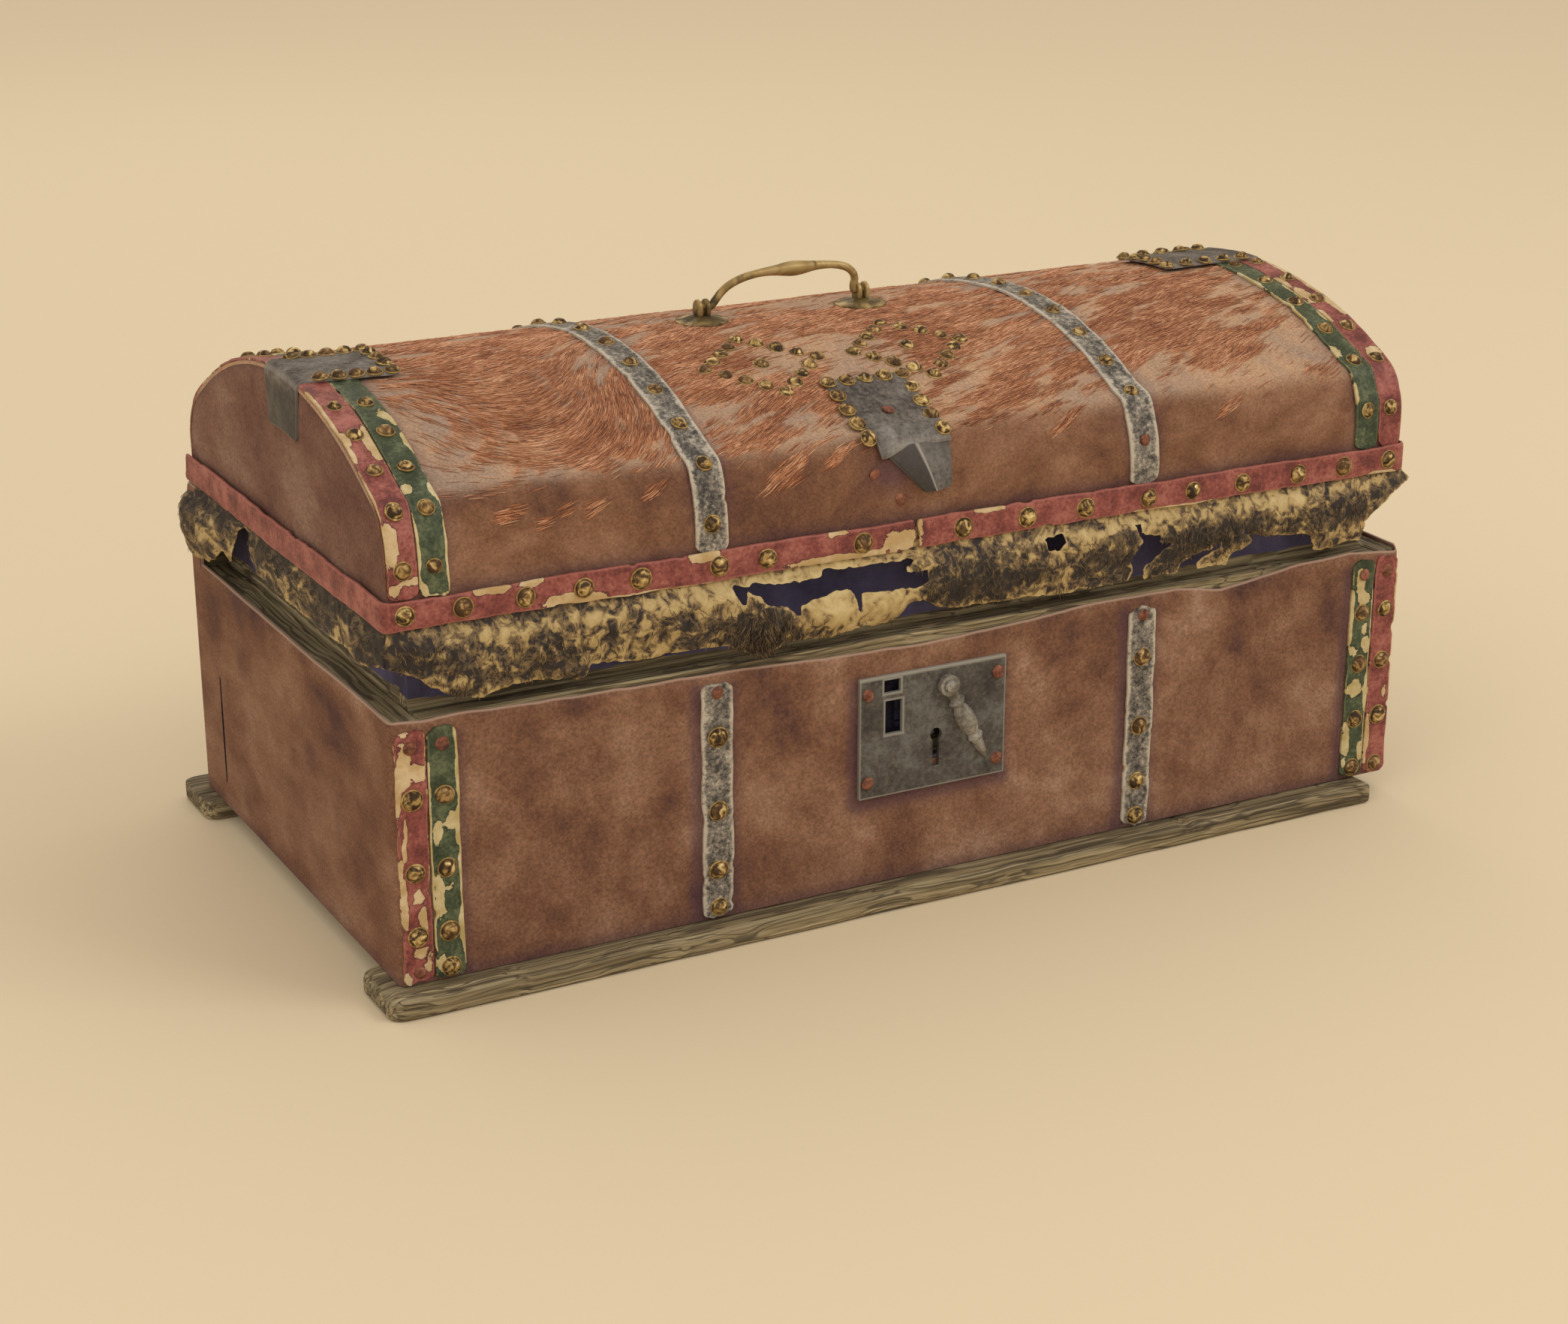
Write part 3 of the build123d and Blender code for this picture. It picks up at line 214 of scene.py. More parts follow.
lidShape = {"domeRadius": 205 * mm, "shoulderRadius": 26 * mm, "crownShift": -6 * mm,
            "creaseOver": 49 * mm}  # how far over the hide its top meets its front
domeRadius, shoulderRadius, crownShift, creaseOver = lidShape.values()
lidLow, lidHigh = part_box("lid_hide")
lidHalf, lidDeep, lidFoot = lidHigh.x, lidHigh.y, lidLow.z
shoulderY = lidDeep - shoulderRadius
domeZ = lidHigh.z - domeRadius
frontShoulderZ = domeZ + math.sqrt((domeRadius - shoulderRadius) ** 2 - (shoulderY + crownShift) ** 2)
backShoulderZ = domeZ + math.sqrt((domeRadius - shoulderRadius) ** 2 - (shoulderY - crownShift) ** 2)
frontTurn = math.atan2(frontShoulderZ - domeZ, shoulderY + crownShift)
backTurn = math.atan2(backShoulderZ - domeZ, shoulderY - crownShift)
frontWall = frontShoulderZ - lidFoot
domeStart = frontWall + shoulderRadius * frontTurn
domeEnd = domeStart + domeRadius * (math.pi - frontTurn - backTurn)
backStart = domeEnd + shoulderRadius * backTurn
lidOver = backStart + backShoulderZ - lidFoot


def lidSection(over):
    # place (y, z) and turn at a distance over the hide from its front lower edge: wall, arc, dome, arc, wall
    over = np.asarray(over, float)
    zones = [over <= frontWall, over <= domeStart, over <= domeEnd, over <= backStart]
    turn = np.select(zones, [0 * over, (over - frontWall) / shoulderRadius,
                             frontTurn + (over - domeStart) / domeRadius,
                             np.pi - backTurn + (over - domeEnd) / shoulderRadius], np.pi)
    y = np.select(zones, [-lidDeep + 0 * over, -shoulderY - shoulderRadius * np.cos(turn),
                          crownShift - domeRadius * np.cos(turn), shoulderY - shoulderRadius * np.cos(turn)],
                  lidDeep)
    z = np.select(zones, [lidFoot + over, frontShoulderZ + shoulderRadius * np.sin(turn),
                          domeZ + domeRadius * np.sin(turn), backShoulderZ + shoulderRadius * np.sin(turn)],
                  lidFoot + lidOver - over)
    return y, z, turn


def lidSwell(x, over):
    # how far the hide stands off the plain section: a ridge at the crease, hollows beside it, dents and puckers
    wander = creaseOver + 2.5 * mm * waves(x, 90 * mm, 3)
    ridge = 1.3 * bump(over, wander, 5 * mm) - bump(over, wander - 15 * mm, 9 * mm)
    ridge = ridge - 0.5 * bump(over, wander + 17 * mm, 11 * mm) + 0.9 * bump(over, lidOver - 52 * mm, 6 * mm)
    dents = 0.7 * clouds(x, over, 55 * mm, 11) + 0.22 * clouds(x, over, 14 * mm, 17)
    pucker = np.sin((x + 0.9 * over) / (5.5 * mm)) * bells(x, over, ((78, 38, 26, 14, 0.5),))
    ends = fade(over, 0, 16 * mm) * fade(lidOver - over, 0, 16 * mm)
    sides = fade(lidHalf - np.abs(x), 0, 10 * mm)
    return mm * np.maximum((ridge + dents + pucker - 0.3) * ends * (0.3 + 0.7 * sides), -1.15)


def lidPoint(x, over, lift=0.0):
    # a point over the hide, with the hide's own swell
    x, over, lift = np.broadcast_arrays(np.asarray(x, float), np.asarray(over, float), lift)
    y, z, turn = lidSection(over)
    lift = lift + lidSwell(x, over)
    return np.stack([x, y - lift * np.cos(turn), z + lift * np.sin(turn)], -1)


overTable = np.linspace(0, lidOver, 1600)
tableY, tableZ = lidSection(overTable)[:2]


def overAt(y, z):
    # the distance over the hide of the nearest place on the section
    return overTable[np.argmin((y[:, None] - tableY) ** 2 + (z[:, None] - tableZ) ** 2, axis=1)]


bodyLow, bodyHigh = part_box("front_body_hide")
bodyHalf, bodyDeep, bodyFoot = bodyHigh.x, -bodyLow.y, bodyLow.z
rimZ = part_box("left_end_board")[1].z
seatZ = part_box("back_board")[1].z


def bodySwell(x, z):
    # slow waves of the hide on the body's walls, still at the corners and at the foot
    calm = fade(bodyHalf - np.abs(x), 0, 12 * mm) * fade(z - bodyFoot, 0, 8 * mm)
    return 0.45 * mm * clouds(x, z, 48 * mm, 31) * calm * fade(rimZ - z, -4 * mm, 14 * mm)


def frontPoint(x, z, lift=0.0):
    # a point on the body's front, with the hide's own swell
    x, z, lift = np.broadcast_arrays(np.asarray(x, float), np.asarray(z, float), lift)
    return np.stack([x, -bodyDeep - lift - bodySwell(x, z), z], -1)


# Materials: the helpers add nodes to the tree that was opened last

tree = {}


def openTree(owner):
    # the nodes of a material or a world
    owner.use_nodes = True
    tree["nodes"], tree["links"] = owner.node_tree.nodes, owner.node_tree.links


finishes = {}  # the materials made below, by name


def startMaterial(name):
    # a new material's main shader
    finishes[name] = bpy.data.materials.new(name)
    openTree(finishes[name])
    return tree["nodes"]["Principled BSDF"]


def join(value, socket):
    # a socket takes another node's output, or a plain value
    if isinstance(value, bpy.types.NodeSocket):
        tree["links"].new(value, socket)
    else:
        socket.default_value = (*value, 1) if socket.type == "RGBA" and len(value) == 3 else value


def node(kind, values, **settings):
    # a node with its settings, and its inputs by name or number
    made = tree["nodes"].new("ShaderNode" + kind)
    for key, value in settings.items():
        setattr(made, key, value)
    for key, value in values.items():
        join(value, made.inputs[key])
    return made


def stretched(scale=(1, 1, 1), turn=(0, 0, 0)):
    # the object's own place, turned first and stretched after that
    place = node("TexCoord", {}).outputs["Object"]
    turned = node("Mapping", {"Vector": place, "Rotation": turn}).outputs["Vector"]
    return node("Mapping", {"Vector": turned, "Scale": scale}).outputs["Vector"]


def noise(scale, detail, rough, warp=0.0, place=None):
    # sum of noises, each half as large and rough times as strong, on the object's own place or another
    return node("TexNoise", {"Vector": place or stretched(), "Scale": scale, "Detail": detail,
                             "Roughness": rough, "Distortion": warp}).outputs["Fac"]


def ramp(value, *stops):
    # colours, or greys given as one number, at places from 0 to 1
    made = node("ValToRGB", {"Fac": value})
    elements = made.color_ramp.elements
    while len(elements) < len(stops):
        elements.new(0.5)
    for element, (place, colour) in zip(elements, stops):
        element.position = place
    for element, (place, colour) in zip(elements, stops):
        element.color = (colour, colour, colour, 1) if isinstance(colour, (int, float)) else (*colour, 1)
    return made.outputs["Color"]


def toned(value, tones, **places):
    # a ramp through the named tones at their places
    return ramp(value, *((place, tones[key]) for key, place in places.items()))


def mix(share, low, high, kind="MIX"):
    # low times (1 - share) plus high times share, or another blend
    return node("Mix", {0: share, 6: low, 7: high}, data_type="RGBA", blend_type=kind).outputs[2]


def painted(colour, value, low, high, tone):
    # the tone over the colour; low and high each give a place of the value and the tone's share there
    return mix(ramp(value, low, high), colour, tone)


def reckon(kind, first, second=0.0):
    # one step of arithmetic
    return node("Math", {0: first, 1: second}, operation=kind).outputs[0]


def times(first, second):
    # product
    return reckon("MULTIPLY", first, second)


def total(*parts):
    # the sum of values, each times its share
    terms = [value if share == 1 else times(value, share) for value, share in parts]
    found = terms[0]
    for term in terms[1:]:
        found = reckon("ADD", found, term)
    return found


def mark(label):
    # a value kept at each of the mesh's points
    return node("Attribute", {}, attribute_name=label).outputs["Fac"]


def finishSurface(shader, colour, rough, height, distance, strength=0.6, metallic=0.0, specular=0.5):
    # the shader's inputs; the height is shown as a bump that is distance deep
    bumped = node("Bump", {"Height": height, "Strength": strength, "Distance": distance})
    for key, value in (("Base Color", colour), ("Roughness", rough), ("Metallic", metallic),
                       ("Specular IOR Level", specular), ("Normal", bumped.outputs["Normal"])):
        join(value, shader.inputs[key])


woodTones = {"dark": (0.080, 0.058, 0.028), "brown": (0.190, 0.140, 0.068), "khaki": (0.325, 0.250, 0.130),
             "pale": (0.47, 0.385, 0.225), "line": (0.040, 0.028, 0.014),
             "across": 560, "along": 11, "sway": 3.5}


def woodGrain(axis):
    # colour and height: fibres stretched along the board, and thin dark lines where a slow noise passes a half
    def along(share):
        scale = [woodTones["across"] * share] * 3
        scale[axis] = woodTones["along"] * share
        return stretched(scale)

    def swayed(share):
        return node("VectorMath", {0: along(share), 1: sway}, operation="ADD").outputs[0]
    sway = times(noise(11, 3, 0.55), woodTones["sway"])
    fibre = noise(1.0, 5, 0.65, 0.35, swayed(1.0))
    broad = noise(1.0, 3, 0.5, 0.6, along(0.12))
    rings = noise(1.0, 2, 0.45, 0.8, swayed(0.42))
    colour = toned(fibre, woodTones, dark=0.32, brown=0.44, khaki=0.55, pale=0.70)
    shade = ramp(broad, (0.36, (0.50, 0.48, 0.45)), (0.54, (1.0, 1.0, 1.0)), (0.72, (1.22, 1.18, 1.08)))
    line = ramp(rings, (0.445, 0.0), (0.480, 0.75), (0.515, 0.75), (0.550, 0.0))
    return mix(line, mix(0.85, colour, shade, "MULTIPLY"), woodTones["line"]), total((fibre, 1), (line, -0.35))


def woodMaterial(name, axis):
    # bare wood with its grain along an axis, rougher where it is low
    shader = startMaterial(name)
    colour, height = woodGrain(axis)
    finishSurface(shader, colour, ramp(height, (0.3, 0.92), (0.7, 0.72)), height, 0.7 * mm)


lipTones = {"deep": (0.040, 0.033, 0.072), "blue": (0.090, 0.076, 0.155), "worn": (0.16, 0.14, 0.22)}


def lipMaterial(name, axis, foot):
    # dark blue paint, which also stands in for the shade behind the flaps, worn off below the height foot, where
    # the wood shows
    shader = startMaterial(name)
    patch = noise(40, 5, 0.6)
    wood, height = woodGrain(axis)
    rise = node("SeparateXYZ", {"Vector": stretched()}).outputs["Z"]
    level = times(total((rise, 1), (patch, 7 * mm), (1.0, -foot - 3.5 * mm)), 1 / mm)
    paint = toned(patch, lipTones, deep=0.3, blue=0.55, worn=0.78)
    colour = painted(wood, level, (0.0, 0.0), (0.7, 1.0), paint)
    finishSurface(shader, colour, 0.85, height, 0.3 * mm)


# shadow is the colour of painted shade; gap is the painted shade inside the left end's slit
hideTones = {"deep": (0.082, 0.037, 0.032), "brown": (0.182, 0.084, 0.047), "tan": (0.262, 0.136, 0.080),
             "pale": (0.38, 0.235, 0.155), "shadow": (0.070, 0.034, 0.050), "cut": (0.42, 0.28, 0.20),
             "gap": (0.016, 0.012, 0.022)}


def bodyHideMaterial():
    # broad and narrow clouds of dye, a fine nap, painted shade beside what is nailed on, stains, a pale cut edge
    # and a slit painted near black as painted shade
    shader = startMaterial("bodyHide")
    broad = noise(14, 5, 0.62, 0.3, stretched((1, 0.55, 1)))
    narrow = noise(46, 4, 0.6, 0.0, stretched((1, 0.5, 0.8), (0, 0.4, 0)))
    nap = noise(820, 3, 0.65)
    colour = toned(total((broad, 0.6), (narrow, 0.4)), hideTones, deep=0.35, brown=0.46, tan=0.56, pale=0.68)
    colour = mix(0.8, colour, ramp(nap, (0.3, 0.55), (0.7, 1.35)), "MULTIPLY")
    # painted shade and stains from the mark, in the shadow colour
    colour = painted(colour, mark("grime"), (0.0, 0.0), (1.0, 0.68), hideTones["shadow"])
    colour = painted(colour, mark("cut"), (0.45, 0.0), (0.9, 0.75), hideTones["cut"])
    # the slit's walls painted near black: painted shade in the slit
    colour = mix(mark("gap"), colour, hideTones["gap"])
    finishSurface(shader, colour, 0.88, total((nap, 1), (narrow, 2.2)), 0.22 * mm, specular=0.2)


lidTones = {"skin": (0.47, 0.280, 0.160), "grey": (0.345, 0.228, 0.155), "hair": (0.50, 0.215, 0.098),
            "russet": (0.36, 0.135, 0.062), "low": (0.195, 0.088, 0.045), "lowPale": (0.295, 0.152, 0.086),
            "deep": (0.105, 0.044, 0.028)}


def lidHideMaterial():
    # bare skin on top, tinted in streaks where hair is left, brown and smooth on the lower front
    shader = startMaterial("lidHide")
    patch = noise(24, 5, 0.64, 0.4, stretched((1, 0.6, 1)))
    streak = noise(1.0, 4, 0.62, 0.0, stretched((75, 430, 430), (0, 0, -0.3)))
    nap = noise(900, 2, 0.6)
    share = times(mark("hair"), ramp(streak, (0.62, 0.95), (0.70, 0.1)))
    tinted = toned(streak, lidTones, russet=0.38, hair=0.58)
    top = mix(share, toned(patch, lidTones, grey=0.38, skin=0.60), tinted)
    colour = mix(mark("low"), top, toned(patch, lidTones, deep=0.34, low=0.48, lowPale=0.66))
    colour = mix(0.7, colour, ramp(nap, (0.3, 0.6), (0.7, 1.28)), "MULTIPLY")
    # painted shade beside the straps, along the edge band and below the hasp, from the mark
    colour = painted(colour, mark("grime"), (0.0, 0.0), (1.0, 0.6), hideTones["shadow"])
    finishSurface(shader, colour, 0.84, total((nap, 1), (streak, 1.6)), 0.2 * mm, specular=0.2)


leatherTones = {
    "redLeather": {"deep": (0.115, 0.020, 0.019), "dye": (0.235, 0.052, 0.040), "rubbed": (0.36, 0.115, 0.085),
                   "bare": (0.46, 0.30, 0.125), "pale": (0.62, 0.46, 0.26), "line": (0.050, 0.011, 0.014)},
    "greenLeather": {"deep": (0.016, 0.028, 0.012), "dye": (0.042, 0.060, 0.026), "rubbed": (0.115, 0.13, 0.062),
                     "bare": (0.42, 0.31, 0.115), "pale": (0.60, 0.49, 0.27), "line": (0.012, 0.022, 0.014)}}


def leatherMaterial(name, tones):
    # dyed and speckled; where the mark "bare" passes a half the dye has flaked off, with a dark line round it
    shader = startMaterial(name)
    mottle = noise(85, 5, 0.68)
    tone = total((mottle, 0.66), (noise(620, 3, 0.6), 0.34))
    dyed = painted(toned(tone, tones, deep=0.40, dye=0.50, rubbed=0.60), mark("edge"), (0.7, 0.0), (1.0, 0.6),
                   tones["rubbed"])
    wear = total((mark("bare"), 1), (noise(260, 4, 0.6, 0.6), 0.55), (1.0, -0.275))
    colour = mix(ramp(wear, (0.40, 0.0), (0.465, 0.85), (0.5, 0.0)), dyed, tones["line"])
    gone = ramp(wear, (0.485, 0.0), (0.505, 1.0))
    bare = painted(tones["bare"], mottle, (0.42, 0.0), (0.62, 1.0), tones["pale"])
    finishSurface(shader, mix(gone, colour, bare), ramp(wear, (0.4, 0.58), (0.5, 0.82)),
                  total((tone, 1), (gone, -0.8)), 0.3 * mm)


strapTones = {"black": (0.030, 0.026, 0.024), "slate": (0.098, 0.084, 0.070), "grey": (0.215, 0.182, 0.142),
              "white": (0.48, 0.41, 0.31)}


def strapMaterial():
    # white at the edges; inside them a fine blotchy dark grey
    shader = startMaterial("greyStrap")
    blot = noise(560, 4, 0.75, 0.4)
    wear = total((blot, 0.62), (noise(150, 4, 0.6, 0.5), 0.38), (mark("edge"), 0.15))
    colour = toned(wear, strapTones, black=0.41, slate=0.47, grey=0.54, white=0.64)
    finishSurface(shader, colour, ramp(wear, (0.4, 0.6), (0.65, 0.85)), blot, 0.35 * mm)


flapTones = {"black": (0.028, 0.021, 0.018), "brown": (0.092, 0.056, 0.029), "ochre": (0.22, 0.142, 0.058),
             "yellow": (0.41, 0.282, 0.108), "cream": (0.56, 0.42, 0.185)}


def flapMaterial():
    # dried raw hide: yellow skin, black-brown blots where hair and mould are left and as painted shadow under the
    # band, thin ochre veins in them; the mark bare, lighter, also holds a painted highlight on the front flap's
    # roll
    shader = startMaterial("rawHide")
    place = stretched((1, 0.5, 1))
    blot = noise(190, 5, 0.62, 0.6, place)
    patch = noise(34, 3, 0.5, 0.4, place)
    tone = total((blot, 0.68), (patch, 0.32), (mark("mould"), -0.10), (mark("bare"), 0.15))
    colour = toned(tone, flapTones, black=0.43, brown=0.455, ochre=0.485, yellow=0.525, cream=0.66)
    vein = ramp(noise(150, 4, 0.6, 0.8, place), (0.43, 0.0), (0.49, 0.7), (0.51, 0.7), (0.57, 0.0))
    dark = ramp(tone, (0.34, 0.25), (0.43, 1.0))
    colour = mix(times(vein, dark), colour, flapTones["ochre"], "LIGHTEN")
    finishSurface(shader, colour, ramp(tone, (0.4, 0.85), (0.6, 0.66)), blot, 0.9 * mm, 0.8)


ironTones = {
    "iron": {"dark": (0.040, 0.034, 0.032), "middle": (0.140, 0.118, 0.100), "bright": (0.27, 0.245, 0.215),
             "rust": (0.205, 0.115, 0.065), "rim": (0.40, 0.36, 0.31), "metallic": 0.15},
    "plateIron": {"dark": (0.041, 0.035, 0.032), "middle": (0.085, 0.073, 0.062), "bright": (0.150, 0.148, 0.135),
                  "rust": (0.135, 0.092, 0.052), "rim": (0.34, 0.32, 0.27), "metallic": 0.25},
    # the lock's case and bolt: dark blue-purple, painted shade inside the lock, seen through its slots
    "lockIron": {"dark": (0.028, 0.024, 0.045), "middle": (0.058, 0.050, 0.092), "bright": (0.10, 0.09, 0.15),
                 "rust": (0.080, 0.058, 0.070), "rim": (0.20, 0.18, 0.24), "metallic": 0.05},
    "paleIron": {"dark": (0.085, 0.072, 0.058), "middle": (0.20, 0.178, 0.145), "bright": (0.42, 0.39, 0.33),
                 "rust": (0.17, 0.13, 0.085), "rim": (0.50, 0.46, 0.39), "metallic": 0.3}}
plateLow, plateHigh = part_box("lock_plate")
# pale outlines on the lock plate: low and high corner, width of the line and its share
slotFrames = ((-24.2, 85.5, 8.9, 15.7),
              (-25.0, 99.5, 8.6, 6.3))  # middle x and z, width and height in millimetres
plateFrames = [((plateLow.x, plateLow.z), (plateHigh.x, plateHigh.z), 0.9 * mm, 0.6),
               ((plateLow.x, plateHigh.z), (plateHigh.x, plateHigh.z + 4 * mm), 1.7 * mm, 0.75)]
plateFrames += [(((x - wide / 2) * mm, (z - high / 2) * mm), ((x + wide / 2) * mm, (z + high / 2) * mm),
                 0.9 * mm, 0.65) for x, z, wide, high in slotFrames]


def frameOf(low, high, width):
    # 1 within width of a rectangle's outline in x and z, 0 elsewhere
    parts = node("SeparateXYZ", {"Vector": stretched()}).outputs
    reach = []
    for axis, k in (("X", 0), ("Z", 1)):
        away = reckon("ABSOLUTE", reckon("SUBTRACT", parts[axis], (low[k] + high[k]) / 2))
        reach.append(reckon("SUBTRACT", away, (high[k] - low[k]) / 2))
    edge = reckon("ABSOLUTE", reckon("MAXIMUM", *reach))
    return ramp(reckon("DIVIDE", edge, width), (0.55, 1.0), (1.0, 0.0))


def ironMaterial(name, tones):
    # mottled and gritty; the mark rim is bright, as wear at the edges and as a painted highlight on ridges and
    # bends, shade is painted shade, and a plate has pale outlines
    shader = startMaterial(name)
    patch, grit = noise(48, 5, 0.62, 0.3), noise(520, 3, 0.65)
    colour = toned(total((patch, 0.6), (grit, 0.4)), tones, dark=0.38, middle=0.5, bright=0.62)
    colour = painted(colour, grit, (0.56, 0.0), (0.72, 0.5), tones["rust"])
    colour = painted(colour, mark("shade"), (0.0, 0.0), (1.0, 0.9), tones["dark"])
    colour = painted(colour, mark("rim"), (0.3, 0.0), (1.0, 0.8), tones["rim"])
    for low, high, width, share in plateFrames if name == "plateIron" else ():
        colour = mix(times(frameOf(low, high, width), share), colour, tones["rim"])
    rough = ramp(patch, (0.35, 0.78), (0.7, 0.58))
    finishSurface(shader, colour, rough, total((grit, 1), (patch, 2.0)), 0.25 * mm, metallic=tones["metallic"])


brassTones = {
    "tackBrass": {"dark": (0.036, 0.018, 0.007), "middle": (0.165, 0.095, 0.030), "gold": (0.44, 0.285, 0.085),
                  "light": (0.80, 0.62, 0.30), "orange": (0.34, 0.165, 0.058), "scale": 240, "low": 0.41},
    "handleBrass": {"dark": (0.055, 0.036, 0.014), "middle": (0.185, 0.120, 0.042), "gold": (0.36, 0.245, 0.090),
                    "light": (0.50, 0.37, 0.165), "scale": 70, "low": 0.34}}


def brassMaterial(name, tones, high=0.58):
    # tarnish in swirls: a warped noise through a dark to bright ramp; tacks have a bright rim and a dark groove
    shader = startMaterial(name)
    low = tones["low"]
    swirl = noise(tones["scale"], 2, 0.5, 1.5)
    colour = toned(swirl, tones, dark=low, middle=low * 0.45 + high * 0.55, gold=high, light=high + 0.14)
    colour = mix(times(mark("shade"), 0.7), colour, tones["dark"])
    if "orange" in tones:
        tarnish = mix(swirl, tones["dark"], tones["orange"])
        colour = painted(colour, mark("tint"), (0.45, 0.0), (0.9, 0.5), tarnish)
        colour = mix(ramp(mark("away"), (0.76, 0.0), (0.87, 0.8), (0.90, 0.0)), colour, tones["dark"])
        colour = painted(colour, mark("away"), (0.89, 0.0), (0.93, 0.55), tones["gold"])
    finishSurface(shader, colour, ramp(swirl, (low, 0.66), (high, 0.42)), swirl, 0.15 * mm, metallic=0.35)


rustTones = {"dark": (0.060, 0.020, 0.012), "brown": (0.20, 0.066, 0.034), "orange": (0.34, 0.135, 0.070)}
hairTones = {
    "orangeHair": {"dark": (0.180, 0.055, 0.023), "middle": (0.48, 0.180, 0.072), "light": (0.80, 0.46, 0.26)},
    "blackHair": {"dark": (0.020, 0.014, 0.012), "middle": (0.055, 0.034, 0.020), "light": (0.24, 0.15, 0.060)}}


def rustMaterial():
    # one noise through a dark to orange ramp
    shader = startMaterial("rust")
    crust = noise(380, 4, 0.65)
    colour = toned(crust, rustTones, dark=0.35, brown=0.52, orange=0.7)
    finishSurface(shader, colour, 0.82, crust, 0.4 * mm, metallic=0.1)


def hairMaterial(name, tones):
    # one tint to each hair, kept in its mark
    shader = startMaterial(name)
    join(toned(mark("tint"), tones, dark=0.0, middle=0.5, light=1.0), shader.inputs["Base Color"])
    join(0.6, shader.inputs["Roughness"])


woodMaterial("woodLong", 0)
woodMaterial("woodShort", 1)
# blue paint on the lips, standing in for the shade seen behind the flaps as well
lipMaterial("bluePaintAndShadeFront", 0, 123.8 * mm)
lipMaterial("bluePaintAndShadeSide", 1, 125.6 * mm)
bodyHideMaterial()
lidHideMaterial()
strapMaterial()
flapMaterial()
rustMaterial()
for make, table in ((leatherMaterial, leatherTones), (ironMaterial, ironTones), (brassMaterial, brassTones),
                    (hairMaterial, hairTones)):
    for name, tones in table.items():
        make(name, tones)
print("materials made")

# Frame pieces that keep their shape

nodeFinish = {
    "woodLong": ["bottom_board", "back_board", "lid_front_rail", "lid_back_rail"]
                + [f"lid_stave_{k}" for k in range(1, 7)],
    "woodShort": ["lid_left_end", "lid_right_end"],
    "bluePaintAndShadeFront": ["front_lip"],
    "bluePaintAndShadeSide": ["left_lip", "right_lip"]}
for finish, names in nodeFinish.items():
    for name in names:
        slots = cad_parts[name].data.materials
        slots.clear()
        slots.append(finishes[finish])
print("frame pieces finished")

# Tacks and nails: their places are read from the frame's own heads

# profile: shares of the radius and of the height, from rim to crown; high and tilt are shares of the radius
tackShape = {"high": 0.72, "around": 20, "tilt": 0.07, "sink": 0.3 * mm,
             "profile": ((1.0, 0.0), (1.03, 0.12), (0.99, 0.24), (0.92, 0.27), (0.875, 0.24), (0.84, 0.32),
                         (0.76, 0.52), (0.62, 0.75), (0.44, 0.91), (0.23, 0.98), (0.10, 1.0))}
nailShape = {"high": 0.50, "around": 12, "tilt": 0.14, "sink": 0.25 * mm,
             "profile": ((1.0, 0.0), (1.05, 0.30), (0.92, 0.62), (0.66, 0.86), (0.32, 1.0))}


def headPlaces(nodeName):
    # triangles that share corners make one head; its thin direction, wide side down, gives base, out and radius
    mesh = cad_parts[nodeName].data
    corners = np.zeros(len(mesh.vertices) * 3, np.float32)
    mesh.vertices.foreach_get("co", corners)
    mesh.calc_loop_triangles()
    order = np.zeros(len(mesh.loop_triangles) * 3, np.int32)
    mesh.loop_triangles.foreach_get("vertices", order)
    rounded, index = np.unique(np.round(corners.reshape(-1, 3) / (0.01 * mm)), axis=0, return_inverse=True)
    triangles = index.ravel()[order].reshape(-1, 3)
    label = np.arange(len(rounded))
    for step in range(12):  # the lowest label spreads over each head
        np.minimum.at(label, triangles.ravel(), np.repeat(label[triangles].min(1), 3))
    count = len(np.unique(label))
    heads = rounded[np.argsort(label, kind="stable")].reshape(count, -1, 3) * 0.01 * mm
    middle = heads.mean(1)
    out = np.linalg.svd(heads - middle[:, None])[2][:, 2]
    height = np.einsum("ijk,ik->ij", heads - middle[:, None], out)
    away = np.linalg.norm(heads - middle[:, None] - height[..., None] * out[:, None], axis=2)
    flip = -np.sign((height * away).sum(1))
    out, height = out * flip[:, None], height * flip[:, None]
    return middle + out * height.min(1)[:, None], out, away.max(1)


def headPiece(nodeName, shape, finish, body, seed, settle):
    # a turned profile scaled to each head's radius, tilted a little, and settled on what it holds
    places, out, radius = headPlaces(nodeName)
    places = places + out * (settle(places) - shape["sink"])[:, None]
    count = len(places)
    random = np.random.default_rng(seed)
    profile = np.array(shape["profile"]) * (1, shape["high"])
    wide, high = profile[:, :1], profile[:, 1:]
    turn = np.linspace(0, 2 * np.pi, shape["around"], endpoint=False)
    head = np.stack(np.broadcast_arrays(wide * np.cos(turn), wide * np.sin(turn), high), -1).reshape(-1, 3)
    head = np.concatenate([head, [[0, 0, 0], [0, 0, profile[-1, 1] * 1.01]]])
    out = unit(out + shape["tilt"] * random.normal(size=(count, 3)))
    side = unit(np.cross(out, random.normal(size=(count, 3))))
    size = radius * (1 + 0.05 * random.normal(size=count).clip(-1.6, 1.6))
    axes = np.stack([side, np.cross(out, side), out], 1)
    points = head * size[:, None, None] @ axes + places[:, None]
    faces = repeatFaces(tubeFaces(len(profile), len(turn)), count, len(head))
    away = np.tile(np.hypot(head[:, 0], head[:, 1]), count)
    tint = np.repeat(random.uniform(0, 1, count), len(head))
    makePiece(camel(nodeName), points.reshape(-1, 3), faces, finish, body, (nodeName,),
              {"away": away, "tint": tint}, sharp=60)


